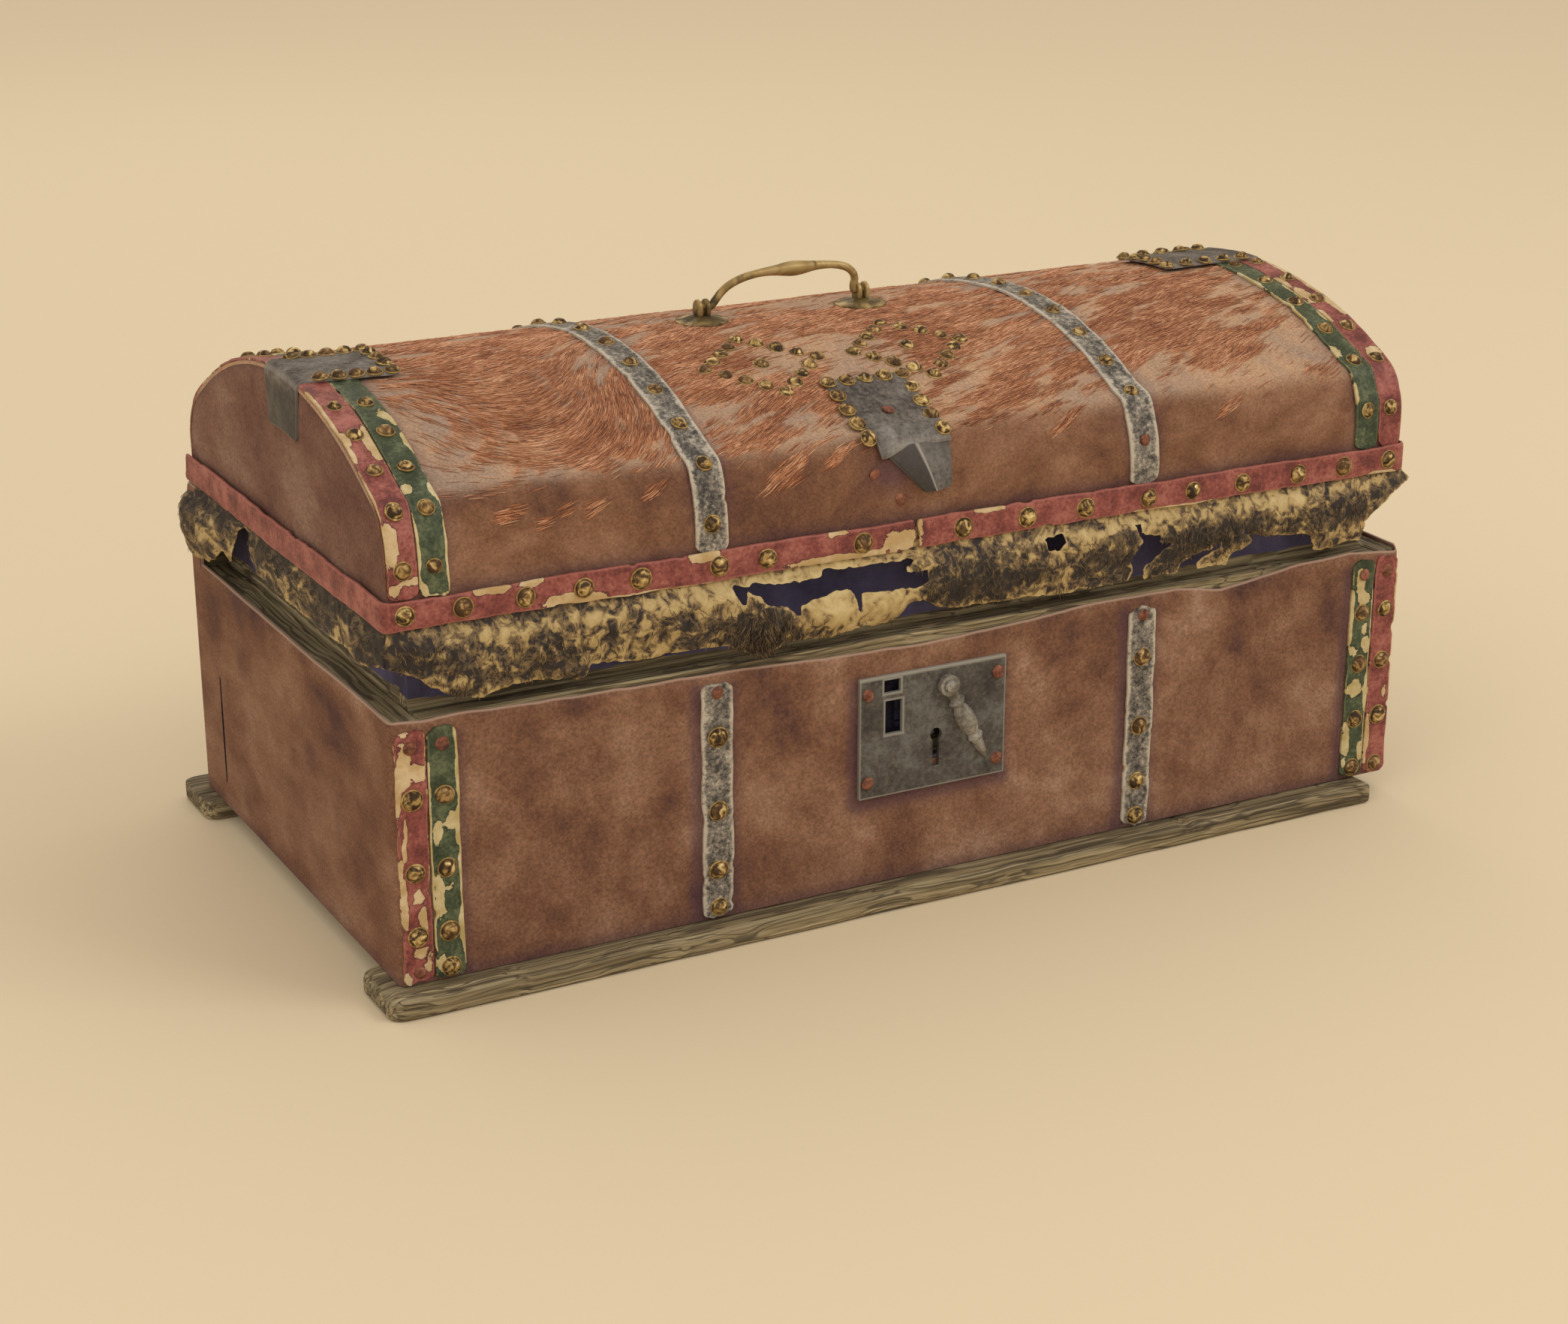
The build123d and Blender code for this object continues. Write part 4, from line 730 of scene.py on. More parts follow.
hasp = {"low": 39.6 * mm, "high": 87 * mm, "thick": 1.5 * mm, "off": 2.2 * mm, "step": 3.4 * mm,
        "tongueThick": 1.2 * mm, "heads": (44 * mm, 88 * mm),  # how far over the hide its tacks and nails are
        # tongue: left edge, ridge and right edge, as x at its root and x at its tip; and how far each stands off
        "left": (-26.5, -8.4), "ridge": (-10.8, -4.2), "right": (6.0, 4.6), "root": 200.8, "tip": 182.2,
        "leftOff": (1.4, 2.0), "ridgeOff": (3.4, 4.9), "rightOff": (2.6, 2.6)}
haspLow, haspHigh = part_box("hasp_plate")


def between(value, span):
    # true inside a span
    return (value > span[0]) & (value < span[1])


def haspLift(x, over):
    # how far the plate stands off the hide: nothing at the top, more towards its lower right corner
    fall = (hasp["high"] - over) / (hasp["high"] - hasp["low"])
    return hasp["off"] * fade(fall, 0.55, 1.0) * (0.4 + 0.6 * (x - haspLow.x) / (haspHigh.x - haspLow.x))


def settleOnLid(places):
    # the swell of the hide under each head, and what the hasp's lower half stands off
    x, over = places[:, 0], overAt(places[:, 1], places[:, 2])
    onHasp = between(x, (haspLow.x, haspHigh.x)) & between(over, hasp["heads"])
    return lidSwell(x, over) + np.where(onHasp, haspLift(x, over), 0)


def settleOnFront(places):
    # the swell of the body's hide under each head
    return bodySwell(places[:, 0], places[:, 2])


headPiece("lid_tacks", tackShape, "tackBrass", "lid", 5, settleOnLid)
headPiece("lid_nails", nailShape, "rust", "lid", 6, settleOnLid)
headPiece("body_tacks", tackShape, "tackBrass", "trunk", 7, settleOnFront)
headPiece("body_nails", nailShape, "rust", "trunk", 8, settleOnFront)
print("tacks and nails made")

# Lid hide, its ends and the hair left on it

hair = {"strandsPerPart": 11000, "lean": 0.33, "size": (8.0, 0.34, 0.36),  # long, wide, lifted, in millimetres
        "parts": ((-221, -116), (-100, -2), (-2, 96), (112, 221)),
        # left of the left strap the coat turns from falling to rising: x where it starts and ends, both angles
        "sweep": (-204, -116, -1.15, 1.4),
        # x, over, half widths both ways, strength
        "patches": ((-176, 118, 40, 36, 1.0), (-146, 92, 34, 34, 1.0), (-160, 66, 42, 9, 0.8),
                    (-150, 160, 50, 22, 0.8), (-78, 98, 26, 38, 0.95), (-42, 150, 60, 22, 0.9),
                    (-52, 78, 30, 16, 0.8), (24, 128, 30, 20, 0.8), (62, 92, 42, 34, 1.0),
                    (66, 150, 50, 30, 0.95), (62, 62, 34, 14, 0.95), (-82, 62, 22, 13, 0.8),
                    (168, 112, 46, 36, 1.0), (152, 74, 44, 14, 0.95), (182, 158, 40, 28, 0.9),
                    (-150, 215, 60, 36, 0.8), (20, 225, 70, 34, 0.8), (150, 220, 60, 38, 0.8)),
        # small tufts on the lower front: x, over, half length, half width
        "tufts": ((-197, 39, 6, 3.4), (-184, 33, 6, 3.6), (-173, 37, 5, 2.6), (-161, 36, 8, 3.6),
                  (-134, 39, 6, 2.6), (-74, 37, 13, 6), (-50, 42, 10, 3), (64, 44, 14, 3.4),
                  (150, 40, 9, 2.6))}


def hairTurn(x, over, rough=1):
    # the direction that the hair lies in: rising to the right, but in one long bend left of the left strap
    start, end, first, last = hair["sweep"]
    bend = first + (last - first) * fade(x, start * mm, end * mm) ** 0.9
    share = fade(-x, 102 * mm, 116 * mm) * bump(over, 96 * mm, 46 * mm)
    angle = hair["lean"] + (bend - hair["lean"]) * share
    return angle + rough * (0.35 * clouds(x, over, 70 * mm, 51) + 0.2 * clouds(x, over, 16 * mm, 55))


def hairAmount(x, over):
    # soft ovals of a given strength, broken into feathery tufts by clouds stretched along the lie of the hair
    angle = hairTurn(x, over, 0)
    along = x * np.cos(angle) + over * np.sin(angle)
    across = over * np.cos(angle) - x * np.sin(angle)
    feather = 0.70 * clouds(along * 0.3, across, 9 * mm, 41) + 0.55 * clouds(along * 0.2, across, 3.4 * mm, 45)
    amount = fade(0.72 * np.clip(bells(x, over, hair["patches"]), 0, 1) + feather, 0.30, 0.72)
    amount = amount * fade(over, 43 * mm, 54 * mm) * fade(lidOver - over, 20 * mm, 45 * mm)
    for tx, to, long, wide in hair["tufts"]:
        dx, do = x / mm - tx, over / mm - to
        a, b = dx * 0.86 + do * 0.5, do * 0.86 - dx * 0.5
        amount = np.maximum(amount, fade(bump(a, 0, long) * bump(b, 0, wide) + 0.4 * feather, 0.3, 0.8))
    return amount


def makeHairs(name, starts, point, turn, size, finish, seed):
    # each hair is a thin three-sided spike on a path of four places that follows the lie of the coat
    long, wide, lift = (value * mm for value in size)
    random = np.random.default_rng(seed)
    count = len(starts)
    step = long * random.uniform(0.55, 1.25, (count, 1)) / 3
    spots = [starts]
    for k in range(3):
        angle = turn(*spots[-1].T) + random.normal(0, 0.07, count)
        spots.append(spots[-1] + step * np.stack([np.cos(angle), np.sin(angle)], 1))
    spots = np.stack(spots, 1)
    rise = np.array([0.02, 0.75, 1.0, 0.55]) * lift * random.uniform(0.5, 1.4, (count, 1))
    centre, below = (point(spots[..., 0], spots[..., 1], rise - drop) for drop in (0, 0.4 * mm))
    up = unit(centre - below)
    side = unit(np.cross(np.gradient(centre, axis=1), up))[:, :3]
    half = (wide / 2 * random.uniform(0.7, 1.3, (count, 1)) * np.array([0.7, 1.0, 0.75]))[..., None]
    middle = centre[:, :3]
    ring = np.stack([middle - side * half, middle + side * half, middle + up[:, :3] * half * 0.8], 2)
    points = np.concatenate([ring.reshape(count, 9, 3), centre[:, 3:]], 1)
    quads = [[a + k, a + (k + 1) % 3, a + 3 + (k + 1) % 3, a + 3 + k] for a in (0, 3) for k in range(3)]
    faces = repeatFaces((quads, ((6, 7, 9), (7, 8, 9), (8, 6, 9), (1, 0, 2))), count, 10)
    tone = 0.5 + 0.34 * clouds(starts[:, 0] * 0.4, starts[:, 1], 7 * mm, seed + 1)
    tint = np.repeat(np.clip(tone + 0.22 * random.normal(size=count), 0, 1), 10)
    makePiece(name, points.reshape(-1, 3), faces, finish, "lid", marks={"tint": tint}, sharp=180)


lidHide = {"thick": 1.5 * mm, "straps": (-115.5, -100.5, 96.5, 111.5, -221, 221), "shadeWide": 2.6 * mm}


def makeLidHide():
    # a grid over the section; brown below the crease and low at the back, and painted shade beside the straps'
    # edges, along the edge band and below left of the hasp
    x, over = grid(np.linspace(-lidHalf, lidHalf, 236), np.linspace(0, lidOver, 168))
    low = fade(creaseOver + 5 * mm * clouds(x, over, 40 * mm, 61) - over, -7 * mm, 5 * mm)
    low = np.maximum(low, fade(over - lidOver + 60 * mm, 0, 20 * mm))
    beside = sum(np.exp(-np.abs(x - edge * mm) / lidHide["shadeWide"]) for edge in lidHide["straps"])
    grime = 0.8 * np.clip(beside, 0, 1) * fade(over, 10 * mm, 30 * mm) + 0.7 * bump(over, 12 * mm, 5 * mm)
    grime = grime + bells(x, over, ((-23, 33, 11, 8, 1.1),))
    inner = lidPoint(x, over, -lidHide["thick"])
    skinPiece("lidHide", lidPoint(x, over), inner, "lidHide", "lid", ("lid_hide",),
              {"hair": hairAmount(x, over), "low": low, "grime": grime})


def makeLidHair():
    # strands start at random where the coat is thick, and a few where it is thin
    random = np.random.default_rng(71)
    for part, (low, high) in enumerate(hair["parts"]):
        spots = random.uniform((low, 22), (high, lidOver / mm - 30), (hair["strandsPerPart"] * 5, 2)) * mm
        thin = 0.025 * fade(spots[:, 1], 40 * mm, 60 * mm)
        chosen = spots[random.uniform(0, 1, len(spots)) < thin + hairAmount(*spots.T)]
        makeHairs(f"lidHair{part + 1}", chosen[:hair["strandsPerPart"]], lidPoint, hairTurn, hair["size"],
                  "orangeHair", 73 + part)


def makeLidEnd(side, name, nodeName):
    # columns from the lower edge up to the section's outline; the skin swells inside and rolls in at its rim
    y, z, turn = lidSection(np.linspace(0.001, lidOver - 0.001, 120))
    y, z = y + 0.25 * mm * np.cos(turn), z - 0.25 * mm * np.sin(turn)
    rise = np.concatenate([np.linspace(0, 0.86, 26), 1 - np.geomspace(0.12, 0.001, 9)])
    top, rise = grid(z, rise)
    y = np.clip(y, -lidDeep, lidDeep)[:, None] + 0 * rise
    z = lidFoot + (top - lidFoot) * rise
    edge = np.minimum(np.minimum(top - z, lidDeep - np.abs(y) + 0.2 * mm), 6 * mm)
    roll = 1 - quarterDrop(1 - edge / (2.2 * mm), 1.0)
    swell = 0.8 * mm * clouds(y, z, 42 * mm, 81) * fade(edge, 0, 6 * mm)
    outer = np.stack([side * (lidHalf - 0.9 * mm + 0.8 * mm * roll + swell), y, z], -1)
    inner = np.stack([0 * z + side * (lidHalf - 1.55 * mm), y, z], -1)
    # painted shade over the whole end, stronger near its rim
    skinPiece(name, outer, inner, "bodyHide", "lid", (nodeName,), {"grime": 0.82 - 0.4 * fade(edge, 0, 5 * mm)})


makeLidHide()
makeLidHair()
makeLidEnd(-1, "lidEndLeft", "left_lid_end_hide")
makeLidEnd(1, "lidEndRight", "right_lid_end_hide")
print("lid hide and hair made")

# Strips: leather bands, grey straps and the lid's edge band

strip = {"step": 1.0 * mm, "columns": 19, "rag": 0.5 * mm, "bite": 1.0 * mm, "curl": 0.6 * mm, "thick": 1.4 * mm,
         "lay": 0.1 * mm, "crumple": 0.2 * mm, "edge": 0.10, "endRag": 1.6 * mm, "corner": 3 * mm, "rim": 0.55}
edgeBand = {**strip, "thick": 1.25 * mm, "corner": 1.2 * mm, "rim": 0.30, "breakAt": -14 * mm, "sink": 0.5 * mm}
stripFinish = {"red": "redLeather", "green": "greenLeather", "strap": "greyStrap"}
lidStrips = ("left_red_lid_band", "left_green_lid_band", "right_red_lid_band", "right_green_lid_band",
             "left_lid_strap", "right_lid_strap")
bodyStrips = ("left_red_corner_band", "left_green_corner_band", "right_red_corner_band",
              "right_green_corner_band", "left_body_strap", "right_body_strap")
# where the dye is gone: place along the strip, place across it (-1 to 1), half length, half width
barePlaces = {
    "leftRedLidBand": ((88, -0.8, 5, 0.34), (84, 0.75, 10, 0.42), (78, -0.92, 6.5, 0.22),
                       (34, -0.62, 8, 0.52), (16.5, -0.55, 3.6, 0.42), (19, 0.3, 1.3, 0.9),
                       (110, -0.95, 20, 0.12), (55, -1.0, 14, 0.10), (215, 0.6, 9, 0.4), (262, -0.7, 8, 0.4)),
    "leftGreenLidBand": ((104, 0.65, 4, 0.38), (98, 0.9, 3, 0.2), (82, 0.95, 6, 0.26), (57, -0.72, 3.6, 0.36),
                         (52, 0.92, 4, 0.24), (30, -1.0, 16, 0.17), (28, 1.0, 20, 0.16),
                         (14.5, -0.7, 3.6, 0.34), (12.5, 0.2, 1.2, 0.9), (210, -0.6, 8, 0.4),
                         (250, 0.7, 10, 0.4)),
    "rightRedLidBand": ((134, 0.8, 14, 0.36), (122, -0.85, 6, 0.3), (108, -0.6, 7, 0.5), (98, 0.75, 10, 0.36),
                        (112, 0.85, 9, 0.3), (58, 0.0, 4, 0.6), (88, -0.95, 5, 0.2), (220, 0.6, 10, 0.5)),
    "rightGreenLidBand": ((110, 0.95, 9, 0.25), (96, -1.0, 18, 0.18), (62, -0.8, 4.5, 0.4),
                          (39, -0.95, 5, 0.22), (128, -0.95, 12, 0.16), (88, 0.95, 4, 0.2),
                          (240, -0.5, 9, 0.5)),
    "leftRedCornerBand": ((119, -0.55, 3, 0.4), (103, -0.55, 9, 0.48), (101, 0.45, 3.6, 0.42),
                          (92, -0.92, 9, 0.2), (76, -0.5, 7, 0.13), (68, -0.62, 6, 0.2), (61, -0.9, 5, 0.22),
                          (45, -0.78, 11, 0.26), (47, 0.15, 3.2, 0.4), (38, 0.42, 6, 0.30),
                          (23, 0.1, 2.2, 0.6), (17, 0.6, 3, 0.3), (12, -0.75, 4, 0.28)),
    "leftGreenCornerBand": ((104, 0.93, 16, 0.17), (77, 0.45, 4.5, 0.4), (73, -0.5, 6.5, 0.36),
                            (74, 0.9, 10, 0.26), (46, -0.58, 8.5, 0.36), (48.5, 0.0, 1.8, 0.42),
                            (33, 0.88, 10, 0.26), (18, -0.62, 5, 0.32), (60, -1.0, 50, 0.13),
                            (55, 1.0, 46, 0.15)),
    "rightRedCornerBand": ((28, -0.88, 12, 0.28), (50, 0.5, 2.5, 0.2), (104, 0.95, 10, 0.14),
                           (70, 1.0, 30, 0.10)),
    "rightGreenCornerBand": ((108, -0.3, 6, 0.42), (99, 0.1, 2.6, 0.4), (90, -0.95, 16, 0.2),
                             (76, 0.55, 5, 0.42), (73, -0.6, 3, 0.4), (55, -0.25, 4.2, 0.62),
                             (50, 0.85, 8, 0.24), (27, -0.72, 11, 0.38), (22, 0.7, 5, 0.3),
                             (60, 1.0, 50, 0.14), (84, 0.3, 2.4, 0.2)),
    "edgeBandLeft": ((-206, 0.85, 9, 0.34), (-187, 0.9, 3.6, 0.3), (-172, -0.8, 14, 0.50),
                     (-113, 0.8, 6, 0.40), (-54, -0.92, 18, 0.36), (-50, 0.9, 4, 0.22), (-21, -0.35, 8, 0.75),
                     (-34, -0.9, 8, 0.3), (-140, -1.0, 30, 0.10)),
    "edgeBandRight": ((22, 0.95, 8, 0.22), (120, -1.0, 20, 0.12), (236, -0.95, 8, 0.2), (-11, 0.2, 1.2, 1.0))}


def bareMark(name, along, across):
    # a half at the rim of each oval in the table, more inside; clouds break the ovals up
    value = np.full(np.shape(along), -1.0)
    for place, share, long, wide in barePlaces.get(name, ()):
        reach = np.hypot((along / mm - place) / long, (across - share) / wide)
        value = np.maximum(value, (1 - reach) * np.clip(long / 5, 0.4, 1.2))
    across = across * 6.5 * mm
    value = value + 0.55 * clouds(along, across, 5.5 * mm, 95) + 0.22 * clouds(along, across, 1.8 * mm, 97)
    return np.clip(0.5 + 0.5 * value, 0, 1)


def stripPiece(name, spot, ends, sides, finish, body, replaces, seed, zero=0.0, shape=strip):
    # along the strip by across it; the edges wander and are bitten into, curl up here and there, and round over
    start, end = ends
    rows = max(int((end - start) / shape["step"]), 10)
    share, across = grid(np.linspace(0, 1, rows), np.sin(np.linspace(-np.pi / 2, np.pi / 2, shape["columns"])))
    off = np.abs(across)
    inset = shape["corner"] * quarterDrop((off - 0.4) / 0.6, 1.0)
    trims = [inset + shape["endRag"] * (0.5 + waves(across * 6 * mm, 4 * mm, seed + k)) for k in range(2)]
    along = start + trims[0] + share * (end - trims[1] - start - trims[0])
    low, high = (edge + 0 * along for edge in (sides(along) if callable(sides) else sides))
    for edge, inwards, k in ((low, 1, seed + 2), (high, -1, seed + 3)):
        bite = fade(smoothNoise(along, 0 * along + 9, 5.5 * mm, k + 4), 0.45, 0.95)
        edge += inwards * (shape["rag"] * waves(along, 13 * mm, k) + shape["bite"] * bite)
    place = (low + high) / 2 + across * (high - low) / 2
    curl = shape["curl"] * fade(clouds(along, place, 22 * mm, seed + 9), 0.05, 0.6) * off ** 5
    crumple = shape["crumple"] * clouds(along, place, 7 * mm, seed + 12) * (1 - off ** 2)
    over = shape["lay"] + curl + crumple
    outer = spot(along, place, over + shape["thick"] * (0.5 + 0.5 * np.sqrt(1 - np.minimum(off, 0.98) ** 8)))
    inner = spot(along, place, np.maximum(over, shape["lay"]) - 0.08 * mm * (1 - off ** 2))
    nearEnd = 1 - fade(np.minimum(along - start, end - along), 0, 2 * mm)
    rim = shape["rim"] * fade(off, 1 - shape["edge"] - 0.06, 1 - shape["edge"] / 2)
    rim = rim * (0.75 + 0.5 * clouds(along, across, 9 * mm, seed + 15))
    skinPiece(name, outer, inner, finish, body, replaces,
              {"edge": np.maximum(fade(off, 0.68, 0.95), 0.8 * nearEnd),
               "bare": np.maximum(bareMark(name, along - zero, across), rim)})


def lidSpot(along, across, lift):
    # a strip that runs over the lid
    return lidPoint(across, along, lift)


def bodySpot(along, across, lift):
    # a strip that runs up the body's front
    return frontPoint(across, along, lift)


bandLow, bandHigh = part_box("lid_edge_band")
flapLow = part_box("front_flap")[0]
aroundX, aroundY, aroundTurn = -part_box("left_flap")[0].x, -flapLow.y, 3 * mm
sideRun = bandHigh.y + aroundY - aroundTurn
cornerRun = aroundTurn * math.pi / 2
frontRun = 2 * (aroundX - aroundTurn)


def aroundSpot(along, height, lift):
    # round the lid from its back left corner: side, quarter circle, front, quarter circle, side
    knots = np.cumsum([0, sideRun, cornerRun, frontRun, cornerRun])
    first = np.clip((along - knots[1]) / aroundTurn, 0, np.pi / 2)
    second = np.clip((along - knots[3]) / aroundTurn, 0, np.pi / 2)
    turn = first + second  # 0 faces left, a quarter turn faces the front
    x = (-aroundX + aroundTurn * (1 - np.cos(first)) + np.clip(along - knots[2], 0, frontRun)
         + aroundTurn * np.sin(second))
    y = (bandHigh.y - np.clip(along, 0, sideRun) - aroundTurn * np.sin(first)
         + aroundTurn * (1 - np.cos(second)) + np.clip(along - knots[4], 0, None))
    lift = lift + 0.35 * mm * clouds(along, height, 40 * mm, 91)
    return np.stack([x - lift * np.cos(turn), y - lift * np.sin(turn), height + 0 * along], -1)


def makeEdgeBand():
    # two strips round the lid that meet at a break near the front's middle; they sway, and narrow once
    front = sideRun + cornerRun + aroundX - aroundTurn
    gap, whole = front + edgeBand["breakAt"], 2 * (sideRun + cornerRun) + frontRun
    for name, ends, replaces, seed in (("edgeBandLeft", (0, gap + 0.8 * mm), ("lid_edge_band",), 101),
                                       ("edgeBandRight", (gap + 1.2 * mm, whole), (), 121)):
        def sides(along):
            sway = 0.7 * mm * waves(along, 60 * mm, seed + 3)
            narrow = 1.2 * mm * bump(along, front - 220 * mm, 30 * mm)
            return bandLow.z + edgeBand["sink"] + sway, bandHigh.z + sway - narrow
        stripPiece(name, aroundSpot, ends, sides, "redLeather", "lid", replaces, seed, front, edgeBand)


def makeStrips(names, spot, body, seed):
    # a straight strip in the place of each band and strap of the frame; a word of its name gives the finish
    trim = 0.35 * mm
    for k, nodeName in enumerate(names):
        low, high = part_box(nodeName)
        ends = (11.5 * mm, lidOver - 12 * mm) if body == "lid" else (low.z + 0.3 * mm, high.z + 0.8 * mm)
        finish = next(finish for word, finish in stripFinish.items() if word in nodeName)
        stripPiece(camel(nodeName), spot, ends, (low.x + trim, high.x - trim), finish, body, (nodeName,),
                   seed + 10 * k)


makeEdgeBand()
makeStrips(lidStrips, lidSpot, "lid", 131)
makeStrips(bodyStrips, bodySpot, "trunk", 191)
print("bands and straps made")

# Body hide: one skin round the four walls

bodyHide = {"thick": 1.6 * mm, "corner": 3.5 * mm, "fixedTop": 105 * mm, "endWave": 0.6 * mm,
            # x, and the height of the front's upper edge
            "frontTop": ((-250, 121.4), (-236, 120.6), (-218, 121.0), (-167, 119.2), (-106, 118.6),
                         (-60, 116.6), (-9, 115.2), (40, 117.0), (79, 119.6), (123, 119.4), (148, 115.6),
                         (188, 120.4), (221, 121.6), (250, 118.6)),
            "slit": (93 * mm, 20.5 * mm, 71.5 * mm, 1.9 * mm)}  # in the left end: y, low, high, wide
lockLow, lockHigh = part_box("lock_case")
pocketGap = 0.3 * mm
pocketX = (lockLow.x - pocketGap, lockHigh.x + pocketGap)
pocketZ = (lockLow.z - pocketGap, lockHigh.z + pocketGap)


def ringStations():
    # x, y and outward direction round the walls' outline; a quarter circle turns each wall into the next
    r, halfX, halfY = bodyHide["corner"], bodyHalf, bodyDeep
    slitY, slitWide = bodyHide["slit"][0], bodyHide["slit"][3]
    turn = np.linspace(0, np.pi / 2, 7)[1:-1]
    side = np.linspace(-halfY + r, halfY - r, 104)
    walls = (np.union1d(np.linspace(-halfX + r, halfX - r, 206), pocketX), side,
             np.linspace(halfX - r, -halfX + r, 60),
             np.union1d(side, slitY + np.array([-2, -0.8, -0.5, 0.5, 0.8, 2]) * slitWide)[::-1])
    outward = ((0, -1), (1, 0), (0, 1), (-1, 0))
    parts = []
    for k, wall in enumerate(walls):
        (nx, ny), (mx, my) = outward[k], outward[(k + 1) % 4]
        still = 0 * wall
        parts.append((wall, still + ny * halfY, still, still + ny) if ny
                     else (still + nx * halfX, wall, still + nx, still))
        bendX, bendY = nx * np.cos(turn) + mx * np.sin(turn), ny * np.cos(turn) + my * np.sin(turn)
        parts.append(((nx + mx) * (halfX - r) + r * bendX, (ny + my) * (halfY - r) + r * bendY, bendX, bendY))
    return [np.concatenate(column) for column in zip(*parts)]


def makeBodyHide():
    # rows from the foot to each wall's own upper edge; the lock's pocket and the slit in the left end stay open
    x, y, nx, ny = ringStations()
    fixed, thick, corner = bodyHide["fixedTop"], bodyHide["thick"], bodyHide["corner"]
    slitY, slitLow, slitHigh, slitWide = bodyHide["slit"]
    rows = np.unique(np.round([*np.linspace(bodyFoot, fixed, 38), slitLow, slitHigh, *pocketZ], 7))
    rise = np.array([0.14, 0.28, 0.42, 0.55, 0.67, 0.78, 0.87, 0.94, 0.98, 1.0])
    frontTop = follow(x, bodyHide["frontTop"]) + 0.4 * mm * waves(x, 9 * mm, 251)
    endTop = rimZ + 0.2 * mm + bodyHide["endWave"] * waves(y, 40 * mm, 253)
    endTop = np.where(y > bodyDeep - 13.6 * mm, seatZ, endTop)
    top = np.where(np.abs(x) > bodyHalf - corner * 0.9, endTop, np.where(y < 0, frontTop, seatZ))
    atCorner = (y < -bodyDeep + corner) & (np.abs(x) > bodyHalf - corner)
    top = np.where(atCorner, frontTop * (-ny) + endTop * (1 + ny), top)[:, None]
    z = np.concatenate([np.broadcast_to(rows, (len(x), len(rows))), fixed + rise * (top - fixed)], 1)
    x, y, nx, ny = (np.repeat(a[:, None], z.shape[1], 1) for a in (x, y, nx, ny))
    slot = (x < 0) & (np.abs(np.abs(y - slitY) - slitWide / 2) < 0.01 * mm)
    inSlot = np.clip((z - slitLow) / (slitHigh - slitLow), 0, 1)
    gape = (y - slitY) * (0.35 + 0.65 * np.sin(np.pi * inSlot)) + 0.3 * mm * waves(z, 14 * mm, 257)
    y = np.where(slot, slitY + gape, y)
    side = np.where(np.abs(ny) > np.abs(nx), x, y + 3)
    toEdge = top - z
    lift = bodySwell(side, z) * np.clip(np.maximum(np.abs(nx), np.abs(ny)) * 4 - 3, 0, 1)
    lift = lift + 0.3 * mm * bump(toEdge, 4 * mm, 3.5 * mm) - 0.7 * mm * bump(toEdge, 0, 0.9 * mm)
    outer = np.stack([x + lift * nx, y + lift * ny, z], -1)
    bent = np.minimum(np.abs(nx), np.abs(ny))
    inner = [np.where(bent > 0.05, np.sign(place) * half, np.clip(place - out * thick, -half, half))
             for place, out, half in ((x, nx, bodyHalf - thick), (y, ny, bodyDeep - thick))]
    middleX, middleY = ((a + np.roll(a, -1, 0))[:, :-1] / 2 for a in (x, y))
    middleZ = (z[:, :-1] + z[:, 1:]) / 2
    pocket = (middleY < -bodyDeep + 1 * mm) & between(middleX, pocketX) & between(middleZ, pocketZ)
    slit = (middleX < -bodyHalf + 1 * mm) & (np.abs(middleY - slitY) < slitWide * 0.45)
    slit = slit & between(middleZ, (slitLow, slitHigh))
    # painted shade beside the straps and bands and round the lock plate, darker at the foot, and a stain on the
    # left end
    beside = sum(bump(x, (e - 1.6) * mm, 3.2 * mm) for e in (-115.5, 96.5, -41, 222))
    beside = beside + 0.6 * sum(bump(x, (e + 1) * mm, 2.2 * mm) for e in (-100.5, 111.5, 32, -222))
    fromPlate = np.abs(x + 4.5 * mm)
    besidePlate = fade(z, 44 * mm, 52 * mm) * fade(107 * mm - z, 0, 4 * mm)
    beside = beside * fade(118 * mm - z, 0, 5 * mm) * np.where(fromPlate < 45 * mm, besidePlate, 1)
    plate = bump(z, 47.5 * mm, 4 * mm) * fade(40 * mm - fromPlate, -3 * mm, 3 * mm)
    stain = 0.55 * fade(clouds(side, z, 30 * mm, 259), 0.25, 0.75) * (nx < -0.9)
    grime = np.clip((beside + plate) * (ny < -0.9) + 0.6 * bump(z, bodyFoot, 4 * mm) + stain, 0, 1)
    cut = np.maximum(fade(-toEdge, -1.6 * mm, -0.2 * mm), 0.35 * np.clip(bent * 2, 0, 1) * (y < 0))
    # the slit's walls, painted near black as painted shade
    gap = slot & (inSlot > 0) & (inSlot < 1)
    skinPiece("bodyHide", outer, np.stack([*inner, z], -1), "bodyHide", "trunk",
              ("front_body_hide", "left_body_hide", "right_body_hide", "back_body_hide"),
              {"grime": grime, "cut": cut, "gap": gap}, keep=~(pocket | slit), wrap=True)


makeBodyHide()
print("body hide made")

# Boards that show

board = {"round": 1.3 * mm, "ripple": 0.35 * mm, "slow": 0.5 * mm, "step": 2.6 * mm, "perSide": 12}
runner = {"leftRound": 7 * mm, "rightRound": 2.5 * mm, "notchAt": 128 * mm, "notchDeep": 1.6 * mm,
          "round": 2.2 * mm, "wave": 0.9 * mm}


